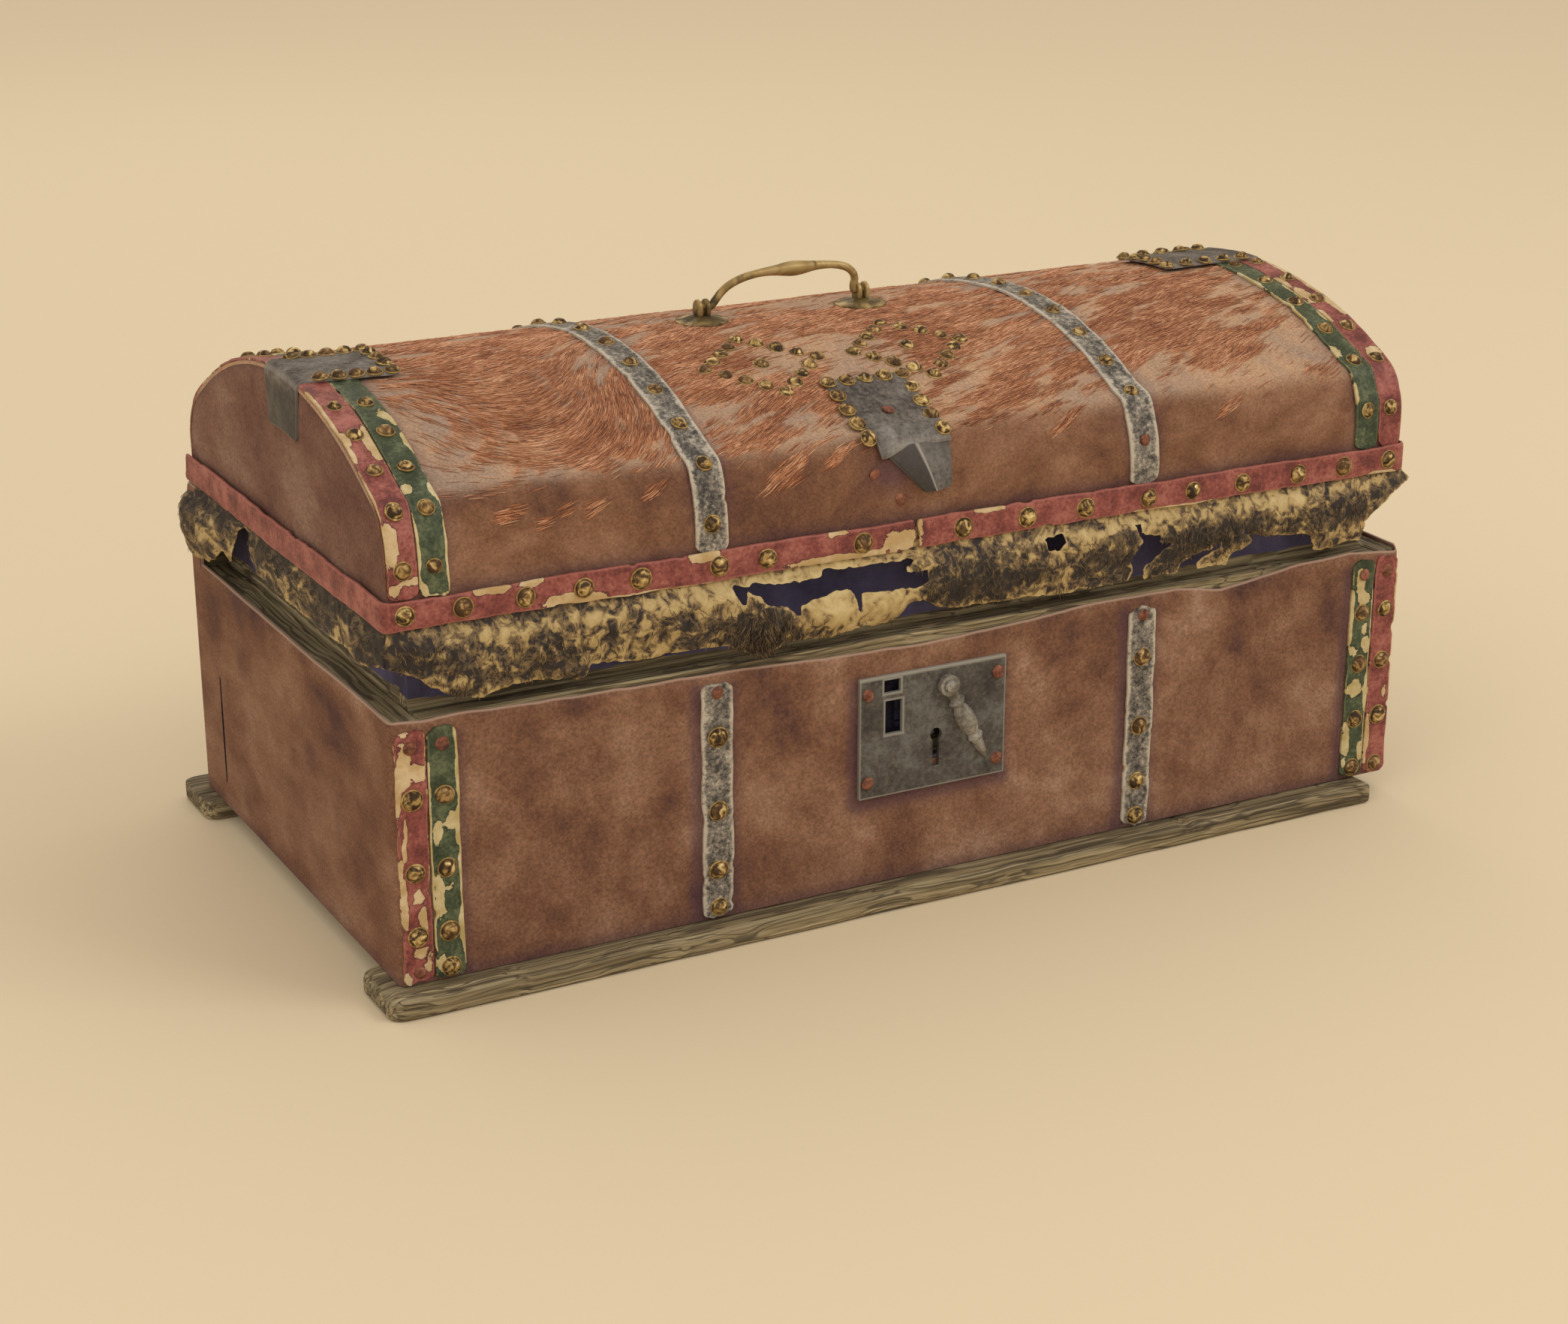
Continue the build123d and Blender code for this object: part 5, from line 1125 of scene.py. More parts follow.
def boardPiece(nodeName, axis, seed, trim=None, top=0.0, pocket=None, rounding=board["round"]):
    # a rounded rectangle carried along the board, worn inwards by long fibres and slow waves
    low, high = (np.array(corner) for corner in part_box(nodeName))
    other, inEnd = 1 - axis, np.array([0.3, 0.8, 1.5]) * mm
    along = np.concatenate([np.linspace(low[axis], high[axis], int((high[axis] - low[axis]) / board["step"])),
                            low[axis] + inEnd, high[axis] - inEnd])
    if pocket:
        along = np.concatenate([along, [pocket[0] - 0.01 * mm, pocket[0], pocket[1], pocket[1] + 0.01 * mm]])
    along = np.unique(along)[:, None]
    # round the section, four sides with the corner after each: share of the width, step inwards, direction out
    t = np.linspace(0, 1, board["perSide"])
    zero, one, edge, corner = 0 * t, 0 * t + 1, rounding * (1 - 2 * t), 0.29 * rounding
    shareA, moveA, outA = (np.concatenate(parts) for parts in (
        (t, [1], one, [1], t[::-1], [0], zero, [0]),
        (edge, [-corner], zero, [-corner], edge[::-1], [corner], zero, [corner]),
        (zero, [0.7], one, [0.7], zero, [-0.7], -one, [-0.7])))
    # heights go through the same values, one side later
    shareB, moveB, outB = (np.roll(values, len(t) + 1) for values in (shareA, moveA, outA))
    lowA, highA, lowB, highB = trim(along) if trim else (low[other], high[other], low[2], high[2])
    a = lowA + (highA - lowA) * shareA + moveA + 0 * along
    b = lowB + (highB - lowB) * shareB + moveB + 0 * along
    if pocket:  # two rows of the face sit at the pocket's lower and upper edge
        face = np.nonzero(outA < -0.9)[0]
        b[:, face[1:5]] = np.array([pocket[3] + 0.01 * mm, pocket[3], pocket[2], pocket[2] - 0.01 * mm])
    around = np.arange(a.shape[1]) * 3 * mm
    fibre = board["ripple"] * (0.5 + 0.5 * clouds(along * 0.06, around, 4 * mm, seed))
    slow = board["slow"] * (0.5 + 0.5 * clouds(along, around * 0.4, 38 * mm, seed + 4))
    sink = fibre + slow + top * (outB > 0.5) * (0.5 + 0.5 * clouds(along, 0 * a, 70 * mm, seed + 8))
    ending = 1 - fade(np.minimum(along - low[axis], high[axis] - along), 0, 1.3 * mm)
    sink = sink + rounding * 0.7 * quarterDrop(ending)
    a, b = a - outA * sink, b - outB * sink
    if pocket:
        inside = (along >= pocket[0]) & (along <= pocket[1]) & (outA < -0.9)
        inside = inside & between(b, (pocket[2] - 0.001 * mm, pocket[3] + 0.001 * mm))
        a = np.where(inside, pocket[4], a)
    ring = np.zeros((*a.shape, 3))
    ring[..., axis], ring[..., other], ring[..., 2] = along, a, b
    turnedPiece(camel(nodeName), [ring], ("woodLong", "woodShort")[axis], "trunk", (nodeName,), sharp=45)


def runnerTrim(nodeName, worn):
    # plan and height of a runner with rounded ends; worn adds a wavy face, a chipped left end and a small notch
    low, high = (np.array(corner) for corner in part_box(nodeName))

    def trim(along):
        left, right = (runner[key] * quarterDrop(1 - reach / runner[key], 0.97)
                       for key, reach in (("leftRound", along - low[0]), ("rightRound", high[0] - along)))
        inset = left + right
        wave = worn * runner["wave"] * (0.5 + 0.5 * waves(along, 34 * mm, 263))
        notch = worn * (runner["notchDeep"] * bump(along, runner["notchAt"], 3 * mm) + 0.5 * inset * (left > 0))
        return low[1] + inset + wave, high[1] - inset, low[2], high[2] - notch
    return trim


boardPiece("front_board", 0, 271, top=1.6 * mm, pocket=(*pocketX, *pocketZ, lockHigh.y + pocketGap))
boardPiece("left_end_board", 1, 281, top=1.8 * mm)
boardPiece("right_end_board", 1, 291, top=1.4 * mm)
boardPiece("front_runner", 0, 301, trim=runnerTrim("front_runner", 1), rounding=runner["round"])
boardPiece("rear_runner", 0, 311, trim=runnerTrim("rear_runner", 0), rounding=runner["round"])
print("boards made")

# Flaps of raw hide that hang under the lid's edge

flap = {"cell": 1.15 * mm, "thick": 1.1 * mm, "forward": 6.5 * mm, "top": 9 * mm,
        # lower edge of the front flap: x, and how far it hangs below the lid
        "lower": ((-249, 14), (-244, 16), (-238, 19), (-232, 23.5), (-226, 27), (-218, 29.5), (-211, 31.2),
                  (-204, 29.8), (-198, 28.6), (-188, 28.6), (-178, 30), (-170, 31), (-166, 30.2), (-163, 26),
                  (-157, 26.3), (-148, 27.6), (-136, 28), (-124, 27.4), (-112, 26.6), (-103, 28), (-96, 31),
                  (-88, 32.5), (-80, 32), (-76, 29.5), (-68, 30.5), (-57, 31.5), (-46, 30.5), (-38, 29.5),
                  (-30, 30), (-21, 29), (-17, 23), (-10, 22.5), (-4, 26), (6, 28.5), (22, 29.5), (40, 30),
                  (60, 30.5), (75, 30.5), (84, 30), (96, 30.5), (106, 31), (115, 31), (122, 31), (134, 31),
                  (150, 31), (157, 31), (180, 30), (196, 30), (202, 31.5), (214, 31), (222, 30.5), (232, 31)),
        # right edge: depth below the lid, and x
        "right": ((-12, 249), (0, 249), (3.5, 252.5), (6, 247), (9, 243), (13, 238), (18, 232), (22, 228),
                  (24, 230), (32, 226)),
        "tear": ((-100, 3), (-84, 3.7), (-73, 5), (-59, 5), (-58, 2.4), (-39, 3.6), (-16, 3.6), (-12, 4.5),
                 (-19, 7.7), (-13, 9.3), (-8, 9), (-8, 14), (-11.5, 16), (-15, 17), (-21, 14.5), (-34, 15),
                 (-41, 14.5), (-41, 23), (-45, 13.5), (-48, 11), (-60, 11.5), (-71.5, 14.5), (-70, 22),
                 (-73, 18), (-77, 14), (-86, 12), (-91, 7.5), (-94, 6), (-97, 10.7), (-100, 6)),
        "holes": (((50, 4.5), (60, 3.8), (61, 7), (57, 10), (52, 9)), ((98, 5), (101, 5), (100, 9), (113, 12),
                  (112, 14), (118, 16), (114, 19), (109, 23), (105, 26), (106, 33), (95, 33), (98, 27),
                  (96, 22), (97, 17), (102, 13)), ((124, 33), (125, 27), (132, 24), (139, 23), (146, 19),
                  (145, 22), (139, 25), (135, 28), (134, 33)), ((156, 15.5), (159, 15.5), (161, 18),
                  (166, 19.5), (194, 22.5), (200, 33), (150, 33), (152, 27), (160, 24), (163, 20.5))),
        # where it is smooth and bare: x, depth, half width, half height, how much
        "smooth": ((-55, 20, 14, 9, 1), (-26, 21, 13, 8, 1)),
        # where it is darkest, in the same way; the rows at depth 0 and 1 are a painted shadow under the band
        "dark": ((-240, 9, 12, 12, 0.9), (-88, 26, 14, 13, 1.1), (12, 18, 14, 8, 0.6), (0, 22, 9, 5, 0.9),
                 (70, 20, 16, 7, 0.3), (128, 17, 22, 7, 0.6), (172, 14, 16, 4, 0.6), (214, 15, 18, 6, 0.8),
                 (60, 1, 30, 2.5, 0.5), (-190, 0, 45, 1.6, 0.9), (-195, 20, 32, 6, 0.3)),
        # what bulges forward: x, depth, half width, half height, how far
        "bulges": ((-88, 25, 13, 9, 4.5), (-57, 21, 12, 9, 5.0), (-28, 22, 12, 7, 3.5),
                   (-214, 26, 22, 9, 2.0), (-168, 29, 7, 5, 2.5), (20, 20, 26, 9, 2.0),
                   (205, 24, 12, 8, 2.0))}


def insideOf(x, depth, corners):
    # distance to a many-sided outline, negative inside
    px, pz = np.array(corners).T * mm
    nearest, inside = np.full(x.shape, 1.0), np.zeros(x.shape, bool)
    for ax, az, bx, bz in zip(px, pz, np.roll(px, -1), np.roll(pz, -1)):
        dx, dz = bx - ax, bz - az
        t = np.clip(((x - ax) * dx + (depth - az) * dz) / (dx * dx + dz * dz), 0, 1)
        nearest = np.minimum(nearest, np.hypot(x - ax - t * dx, depth - az - t * dz))
        if dz:
            inside ^= ((az > depth) != (bz > depth)) & (x < ax + (depth - az) * dx / dz)
    return np.where(inside, -nearest, nearest)


def frontFlapField(x, depth):
    # above 0 where there is hide: over the lower edge, inside the right edge, outside the tear and the holes
    rag = 0.9 * mm * clouds(x, depth, 5 * mm, 321) + 0.5 * mm * smoothNoise(x, depth, 1.9 * mm, 325)
    field = np.minimum(follow(x, flap["lower"]) - depth, follow(depth, flap["right"]) - x)
    for hole in (flap["tear"], *flap["holes"]):
        field = np.minimum(field, insideOf(x, depth, hole))
    return field + rag * fade(depth, 0, 3 * mm)


def frontFlapPoint(x, depth, lift=0.0):
    # a puffed roll: flat under the band, forward below it, tucked back at the foot, with dents and bulges
    roll = flap["forward"] * fade(depth, -1.0 * mm, 9 * mm) * (0.75 + 0.35 * waves(x, 38 * mm, 331))
    roll = roll - 3.2 * mm * fade(depth, 12 * mm, 31 * mm) + mm * bells(x, depth, flap["bulges"])
    dents = (1.1 * clouds(x, depth, 11 * mm, 333) + 0.45 * clouds(x, depth, 4 * mm, 337)) * mm
    roll = (roll + dents * fade(depth, 0, 6 * mm)) * (0.35 + 0.65 * fade(x + 249 * mm, 0, 14 * mm))
    back = 0.5 * np.clip(-244.5 * mm - x, 0, None) ** 2 / (4.5 * mm)
    y = flapLow.y + 0.35 * mm - np.maximum(roll, 0) - lift + back
    return np.stack([x + 0.15 * back, y, lidFoot - depth], -1)


def flapPiece(nodeName, reach, deep, field, point, marksAt):
    # cells outside the field are dropped, and the corners beside them slide onto its edge
    x, depth = grid(np.arange(*reach, flap["cell"]), np.arange(-flap["top"], deep, flap["cell"]))
    value = field(x, depth)
    slopeX, slopeZ = np.gradient(value, x[1, 0] - x[0, 0], depth[0, 1] - depth[0, 0])
    steep = np.maximum(slopeX ** 2 + slopeZ ** 2, 0.35)
    keep = value[1:, 1:] + value[1:, :-1] + value[:-1, 1:] + value[:-1, :-1] > 0
    kept, dropped = np.zeros(value.shape, bool), np.zeros(value.shape, bool)
    for part in (np.s_[1:, 1:], np.s_[1:, :-1], np.s_[:-1, 1:], np.s_[:-1, :-1]):
        kept[part] |= keep
        dropped[part] |= ~keep
    onEdge = kept & dropped
    move = np.where(onEdge, np.clip(value, -0.9 * flap["cell"], 0.55 * flap["cell"]), 0)
    x, depth = x - move * slopeX / steep, depth - move * slopeZ / steep
    value = np.where(onEdge, 0, value)
    thin = fade(value, 0, 2.2 * mm)
    outer = point(x, depth, -0.35 * mm * (1 - thin))
    inner = point(x, depth, -flap["thick"] * (0.6 + 0.4 * thin))
    piece = skinPiece(camel(nodeName), outer, inner, "rawHide", "lid", (nodeName,), marksAt(x, depth, value),
                      70, keep)


def frontMarks(x, depth, value):
    # yellow on the roll with a painted highlight along its top, black curls below, more at the far left, round
    # the tear and in a belt right of it, and a painted shadow under the band
    lean = 3 * mm + 4 * mm * clouds(x, depth, 24 * mm, 341)
    mould = 0.18 + fade(depth, lean, lean + 9 * mm) * (0.36 + 0.5 * clouds(x, depth, 14 * mm, 343))
    belt = 18 * mm - 3 * mm * fade(x, 120 * mm, 200 * mm)
    mould = mould + 0.12 * fade(x, 0, 30 * mm) * bump(depth, belt, 6 * mm) + bells(x, depth, flap["dark"])
    smooth = bells(x, depth, flap["smooth"])
    # painted highlight along the top of the roll, added to the mark bare
    lit = bump(depth, 5 * mm, 3.6 * mm) * (0.2 + 0.5 * waves(x, 26 * mm, 345))
    bare = bump(value, 0, 0.9 * mm) * 0.5 * fade(x, -248 * mm, -244 * mm) + 0.95 * smooth + lit
    return {"mould": np.clip(mould * (1 - 0.95 * np.clip(smooth, 0, 1)), 0, 1.3), "bare": np.clip(bare, 0, 1)}


sideFlap = {"forward": 2.2 * mm,
            # along the side from the front corner, and how far it hangs below the lid
            "left": ((-124, 14), (-112, 17), (-95, 20), (-82, 18.5), (-64, 19.5), (-44, 18.6), (-24, 19.4),
                     (-6, 18.6), (14, 18.8), (28, 17.2), (36, 13.5), (41, 3.0), (47, 2.0), (52, 4.5),
                     (57, 14), (61, 21), (66, 17), (74, 23), (84, 27), (96, 30), (110, 31.5), (122, 30)),
            "right": ((-124, 1), (-100, 2), (-86, 3), (-78, 12), (-60, 15), (-20, 13), (20, 16), (60, 14),
                      (90, 15), (112, 14), (124, 12)),
            # depth, and where the flap ends at the back
            "end": ((0, 122), (4, 127), (10, 131), (22, 129), (30, 124)),
            "tail": (58 * mm, 120 * mm, 7.5 * mm),  # where it starts and ends, and how far it stands out
            # blots on the tail: along the side, depth, half widths, how much
            "dark": ((108, 14, 5, 6, 0.9), (90, 12, 6, 4, 0.9), (80, 17, 7, 3, 0.9), (74, 24, 4, 4, 0.9),
                     (100, 3, 24, 5, 0.9))}


def sideFlapPoint(side):
    # along the side by depth; at the back left the tail stands out in a puffed pouch, tucked in at its foot
    def point(y, depth, lift=0.0):
        tailY, tailEnd, tailOut = sideFlap["tail"]
        out = sideFlap["forward"] * fade(depth, 0, 8 * mm) * (0.8 + 0.5 * waves(y, 30 * mm, 351))
        out = out + 0.8 * mm * clouds(y, depth, 9 * mm, 353) * fade(depth, 0, 6 * mm)
        if side < 0:
            share = fade(y, tailY - 14 * mm, tailY + 24 * mm) * fade(depth, -1 * mm, 10 * mm)
            puff = 0.85 + 0.25 * clouds(y, depth, 12 * mm, 357)
            out = out + tailOut * share * puff - 4.5 * mm * fade(depth, 18 * mm, 33 * mm) * share
            out = out - 6 * mm * fade(y, tailEnd - 4 * mm, tailEnd + 12 * mm)
        return np.stack([side * (aroundX - 0.35 * mm + np.maximum(out, 0) + lift), y, lidFoot - depth], -1)
    return point


def sideFlapField(side):
    # above 0 where there is hide: over the lower edge and before the back end
    def field(y, depth):
        rag = 0.7 * mm * clouds(y, depth, 6 * mm, 361) + 0.4 * mm * smoothNoise(y, depth, 2 * mm, 365)
        lower = follow(y, sideFlap["left" if side < 0 else "right"])
        return np.minimum(lower - depth, follow(depth, sideFlap["end"]) - y) + rag * fade(depth, 0, 3 * mm)
    return field


def sideMarks(y, depth, value):
    # painted shadow under the band, dark at the front corner, blots on the tail, yellow elsewhere
    mould = 1.1 * (1 - fade(depth, 2.5 * mm, 9 * mm + 4 * mm * clouds(y, depth, 12 * mm, 371))) + 0.45
    mould = mould + 0.9 * bump(y, -112 * mm, 18 * mm) * fade(depth, 1 * mm, 5 * mm)
    mould = mould + bells(y, depth, sideFlap["dark"])
    return {"mould": np.clip(mould, 0, 1.2), "bare": 0.6 * bump(value, 0, 1.2 * mm)}


# count, the corners of the field in which they start, the spread of the mould they need; long, wide, lifted
tuft = {"front": (1500, (-246, 5), (228, 32), (0.25, 1.1)), "left": (260, (-120, 2), (126, 31), (0.35, 1.3)),
        "clump": (260, (-88, 7.5), (25, 4.5)),  # count, and the middle and spread of x and of depth
        "frontSize": (3.4, 0.32, 0.9), "leftSize": (2.6, 0.32, 0.6), "clumpSize": (5.0, 0.42, 1.6)}


def makeTufts():
    # short black hairs on the flaps, thick where the mould is, longest in the clump left of the tear
    random = np.random.default_rng(381)

    def down(x, depth):
        return np.pi / 2 + 1.5 * clouds(x, depth, 5 * mm, 383) + 0.6 * clouds(x, depth, 2 * mm, 385)

    def scatter(count, low, high, chance, field, marksAt):
        spots = random.uniform(low, high, (count * 9, 2)) * mm
        value = field(*spots.T)
        mouldy = random.uniform(*chance, len(spots)) < marksAt(*spots.T, value)["mould"]
        return spots[(value > 0.6 * mm) & mouldy][:count]
    front = scatter(*tuft["front"], frontFlapField, frontMarks)
    makeHairs("frontTufts", front, frontFlapPoint, down, tuft["frontSize"], "blackHair", 387)
    count, *spread = tuft["clump"]
    clump = np.stack([random.normal(*values, count) for values in spread], 1) * mm
    clump = clump[frontFlapField(*clump.T) > 0.4 * mm]
    makeHairs("clumpTufts", clump, frontFlapPoint, down, tuft["clumpSize"], "blackHair", 389)
    left = scatter(*tuft["left"], sideFlapField(-1), sideMarks)
    makeHairs("leftTufts", left, sideFlapPoint(-1), down, tuft["leftSize"], "blackHair", 391)


flapPiece("front_flap", (-249.5 * mm, 254 * mm), 34 * mm, frontFlapField, frontFlapPoint, frontMarks)
for side, nodeName, size in ((-1, "left_flap", (0.250, 0.031)), (1, "right_flap", (0.235, 0.0235))):
    flapPiece(nodeName, (-123 * mm, 134 * mm), 36 * mm, sideFlapField(side), sideFlapPoint(side), sideMarks)
makeTufts()
print("flaps made")

# Hasp plate with its folded tongue

def makeHasp():
    # the plate lies on the hide and narrows downwards; the tongue's two facets meet in a ridge that stands off
    u, fall = grid(np.linspace(0, 1, 41), np.concatenate([np.linspace(0, 0.95, 30), np.linspace(0.965, 1, 4)]))
    foot = hasp["low"] + hasp["step"] * fade(u, 0.02, 0.42)
    over = hasp["high"] - (hasp["high"] - foot) * fall
    left, right = haspLow.x + 6.6 * mm * fall, haspHigh.x - 2.0 * mm + 2.4 * mm * fall
    x = left + (right - left) * u + 0.35 * mm * waves(over, 9 * mm, 401) * np.abs(2 * u - 1)
    edge = np.minimum(np.minimum(u, 1 - u) * (right - left), np.minimum(over - foot, hasp["high"] - over))
    lift = 0.15 * mm + haspLift(x, over) + 0.25 * mm * clouds(x, over, 14 * mm, 403)
    outer = lidPoint(x, over, lift + hasp["thick"] - 0.5 * mm * quarterDrop(1 - edge / (0.9 * mm)))
    # a painted highlight along the bend above the plate's foot goes into the mark rim; shade is painted shade at
    # the left edge and above the foot
    worn = bump(over - foot, 1.8 * mm, 1.8 * mm) * fade(u, 0.45, 0.85)
    skinPiece("haspPlate", outer, lidPoint(x, over, lift), "iron", "lid", ("hasp_plate",),
              {"rim": np.maximum(0.6 * (1 - fade(edge, 0, 0.8 * mm)), 0.55 * worn),
               "shade": 0.08 + 0.45 * bump(u, 0, 0.12) + 0.4 * bump(over - foot, 7 * mm, 4 * mm) * (u > 0.3)})
    v, t = grid(np.linspace(0, 1, 29), np.linspace(0, 1, 22))
    fromEdge = np.minimum(v, 1 - v)

    def facets(*keys):
        # straight from the left edge to the ridge and on to the right edge; each runs from the root to the tip
        left, ridge, right = ((hasp[key][0] + (hasp[key][1] - hasp[key][0]) * t) * mm for key in keys)
        return np.where(v < 0.5, left + (ridge - left) * v * 2, ridge + (right - ridge) * (v * 2 - 1))
    x, off = facets("left", "ridge", "right"), facets("leftOff", "ridgeOff", "rightOff")
    off = off + 0.12 * mm * clouds(x, t * 20 * mm, 8 * mm, 405) - 0.5 * mm * bump(fromEdge, 0, 0.02)
    z = (hasp["root"] + (hasp["tip"] - hasp["root"]) * t) * mm + 1.3 * mm * (v - 0.5) * t
    over = np.where(z > frontShoulderZ, frontWall + (z - frontShoulderZ) * 1.03, np.clip(z - lidFoot, 0, None))
    inner = lidPoint(x, over, off - hasp["tongueThick"])
    # painted highlight along the ridge, and painted shade on the left facet, less on the right one
    skinPiece("haspTongue", lidPoint(x, over, off), inner, "iron", "lid", (),
              {"rim": np.maximum(bump(v, 0.5, 0.035), 0.5 * (1 - fade(fromEdge, 0, 0.03))),
               "shade": np.where(v < 0.5, 1.0, 0.7 - 0.4 * t)}, sharp=24)


# Irons over the crown's ends

crown = {"thick": 1.2 * mm, "bend": 2.4 * mm, "off": 1.55 * mm}


def makeCrownIron(side, nodeName):
    # over the crown, round a quarter bend, and down the end; the sheet is dented and its corners are cut
    low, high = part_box(nodeName)
    bend, thick = crown["bend"], crown["thick"]
    inner, outerX = sorted((abs(low.x), abs(high.x)))
    flatRun, bendRun, drop = outerX - thick - bend - inner, bend * math.pi / 2, high.z - low.z - bend
    run = np.concatenate([np.linspace(0, flatRun, 26), flatRun + np.linspace(0, bendRun, 8)[1:],
                          flatRun + bendRun + np.linspace(0, drop - 1.2 * mm, 16)[1:]])
    run, u = grid(run, np.linspace(0, 1, 27))
    turn = np.clip((run - flatRun) / bend, 0, np.pi / 2)
    down = np.clip(run - flatRun - bendRun, 0, None)
    narrow = 3.0 * mm * down / drop + 2.5 * mm * fade(down, drop - 6 * mm, drop) ** 3
    y = low.y + narrow + 0.3 * mm * waves(run, 12 * mm, 411) + (high.y - low.y - 2 * narrow) * u
    section = np.sqrt(domeRadius ** 2 - (y - crownShift) ** 2) + domeZ
    across = inner + np.clip(run, 0, flatRun) + bend * np.sin(turn)
    height = section - bend * (1 - np.cos(turn)) - down
    dent = 0.3 * mm * clouds(run, y, 16 * mm, 413) + 0.1 * mm * clouds(run, y, 5 * mm, 415)
    edge = np.minimum(np.minimum(u, 1 - u) * (high.y - low.y), np.minimum(run, run.max() - run))
    over = overAt(y.ravel(), section.ravel()).reshape(y.shape)
    height = height + lidSwell(side * np.minimum(across, lidHalf), over) * (turn < 0.1)
    off = crown["off"] * (1 - 0.95 * np.sin(turn))
    rounding = 0.45 * mm * quarterDrop(1 - edge / (0.9 * mm))
    layers = [np.stack([side * (across + lift * np.sin(turn)), y, height + lift * np.cos(turn)], -1)
              for lift in (off + thick + dent - rounding, off + 0.3 * dent)]
    # bright edges as wear, and a painted highlight on the bend; darker down the end
    worn = np.maximum(0.55 * (1 - fade(edge, 0, 1.0 * mm)), 0.6 * bump(turn, 0.9, 0.5) * (turn > 0))
    skinPiece(camel(nodeName), *layers, "iron", "lid", (nodeName,),
              {"rim": worn, "shade": 0.2 + 0.65 * fade(down, 0, 4 * mm)})


makeHasp()
makeCrownIron(-1, "left_crown_iron")
makeCrownIron(1, "right_crown_iron")
print("hasp and crown irons made")

# Small metal parts: the frame's own shapes, joined up, smoothed and eased

# finish, body, and the width of the bevel in millimetres
eased = {"lock_plate": ("plateIron", "trunk", 0.45), "lock_case": ("lockIron", "trunk", 0.2),
         "lock_bolt": ("lockIron", "lock_bolt", 0.25), "keyhole_cover": ("paleIron", "keyhole_cover", 0.0),
         "cover_rivet": ("paleIron", "trunk", 0.0), "hinge_body_leaves": ("plateIron", "trunk", 0.3),
         "hinge_lid_leaves": ("plateIron", "lid", 0.3), "hinge_pins": ("plateIron", "trunk", 0.2)}


def easedCopy(nodeName, finish, body, ease):
    # the node's own mesh: doubled corners merged, flat faces joined, and a bevel along each edge over 38 degrees
    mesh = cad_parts[nodeName].data.copy()
    mesh.name = camel(nodeName)
    shape = bmesh.new()
    shape.from_mesh(mesh)
    bmesh.ops.remove_doubles(shape, verts=shape.verts, dist=1e-6)
    if ease:
        bmesh.ops.dissolve_limit(shape, angle_limit=math.radians(0.5), verts=shape.verts, edges=shape.edges)
    bmesh.ops.recalc_face_normals(shape, faces=shape.faces)
    shape.to_mesh(mesh)
    shape.free()
    mesh.materials.clear()
    piece = addPiece(camel(nodeName), mesh, finish, body, (nodeName,), 38)
    if ease:
        bevel = piece.modifiers.new("ease", "BEVEL")
        bevel.width, bevel.segments, bevel.limit_method = ease * mm, 2, "ANGLE"
        bevel.angle_limit = math.radians(38)
        bevel.harden_normals = True


for nodeName, values in eased.items():
    easedCopy(nodeName, *values)
print("small metal parts made")

# Handle: a bail with a swollen grip between two posts on round roses

handle = {"middle": -12 * mm, "span": 80 * mm, "pinY": -6 * mm, "pinZ": 242 * mm, "roseZ": 234.9 * mm,
          # the bail's middle line: x from the handle's middle, and rise above its pins
          "line": ((-43.4, 0), (-39.5, 0), (-36.6, 0), (-35.0, 0.9), (-33.0, 3.2), (-29.8, 6.5), (-25.2, 9.3),
                   (-18.5, 11.5), (-10, 12.7), (0, 13.0), (9, 13.1), (18, 13.3), (26, 12.8), (32, 11.3),
                   (35.6, 8.7), (36.9, 5.6), (36.3, 2.6), (36.5, 0.6), (38, 0), (40, 0), (43.4, 0)),
          "thin": 1.75, "grip": 1.6, "gripAt": 5.5, "gripLong": 9,
          # rose: radius and height; tab: where it stands beside the post's middle, and its radius round the pin
          "rose": ((11.6, 0), (12, 0.9), (11.9, 1.5), (11.2, 1.75), (10.5, 1.6), (9.6, 1.75), (7.0, 2.7),
                   (5.0, 3.3), (3.2, 3.7), (0.8, 3.8)),
          "tabs": ((-3.0, -1.2), (0.9, 2.7)), "tabRound": 3.7, "tabFoot": 6.2}


def smoothPath(points, steps):
    # a curve through the points: each stretch blends the four points round it by cubic weights
    points = np.array(points, float)
    padded = np.concatenate([points[:1], points, points[-1:]])
    t = np.linspace(0, 1, steps, endpoint=False)[None, :, None]
    a, b, c, d = (padded[k:len(padded) - 3 + k, None] for k in range(4))
    curve = (2 * b + (c - a) * t + (2 * a - 5 * b + 4 * c - d) * t ** 2 + (3 * b - a - 3 * c + d) * t ** 3) / 2
    return np.concatenate([curve.reshape(-1, points.shape[1]), points[-1:]])


def makeBail():
    # a circle carried along the middle line; its radius swells by a bell curve at the grip
    line = smoothPath(handle["line"], 6)
    x, rise = line.T
    step = unit(np.gradient(line, axis=0))
    radius = handle["thin"] + handle["grip"] * bump(x, handle["gripAt"], handle["gripLong"])
    radius = radius * (1 - 0.28 * (np.abs(x) > 37.2) * (rise < 0.3))
    radius = (radius + 0.06 * clouds(x, rise, 6, 431))[:, None]
    turn = np.linspace(0, 2 * np.pi, 20, endpoint=False)[None, :]
    inPlane = radius * np.cos(turn)
    ring = np.stack([handle["middle"] + (x[:, None] - step[:, 1:] * inPlane) * mm,
                     handle["pinY"] + radius * np.sin(turn) * mm,
                     handle["pinZ"] + (rise[:, None] + step[:, :1] * inPlane) * mm], -1)
    turnedPiece("handleBail", [ring], "handleBrass", "bail", ("handle_bail",))


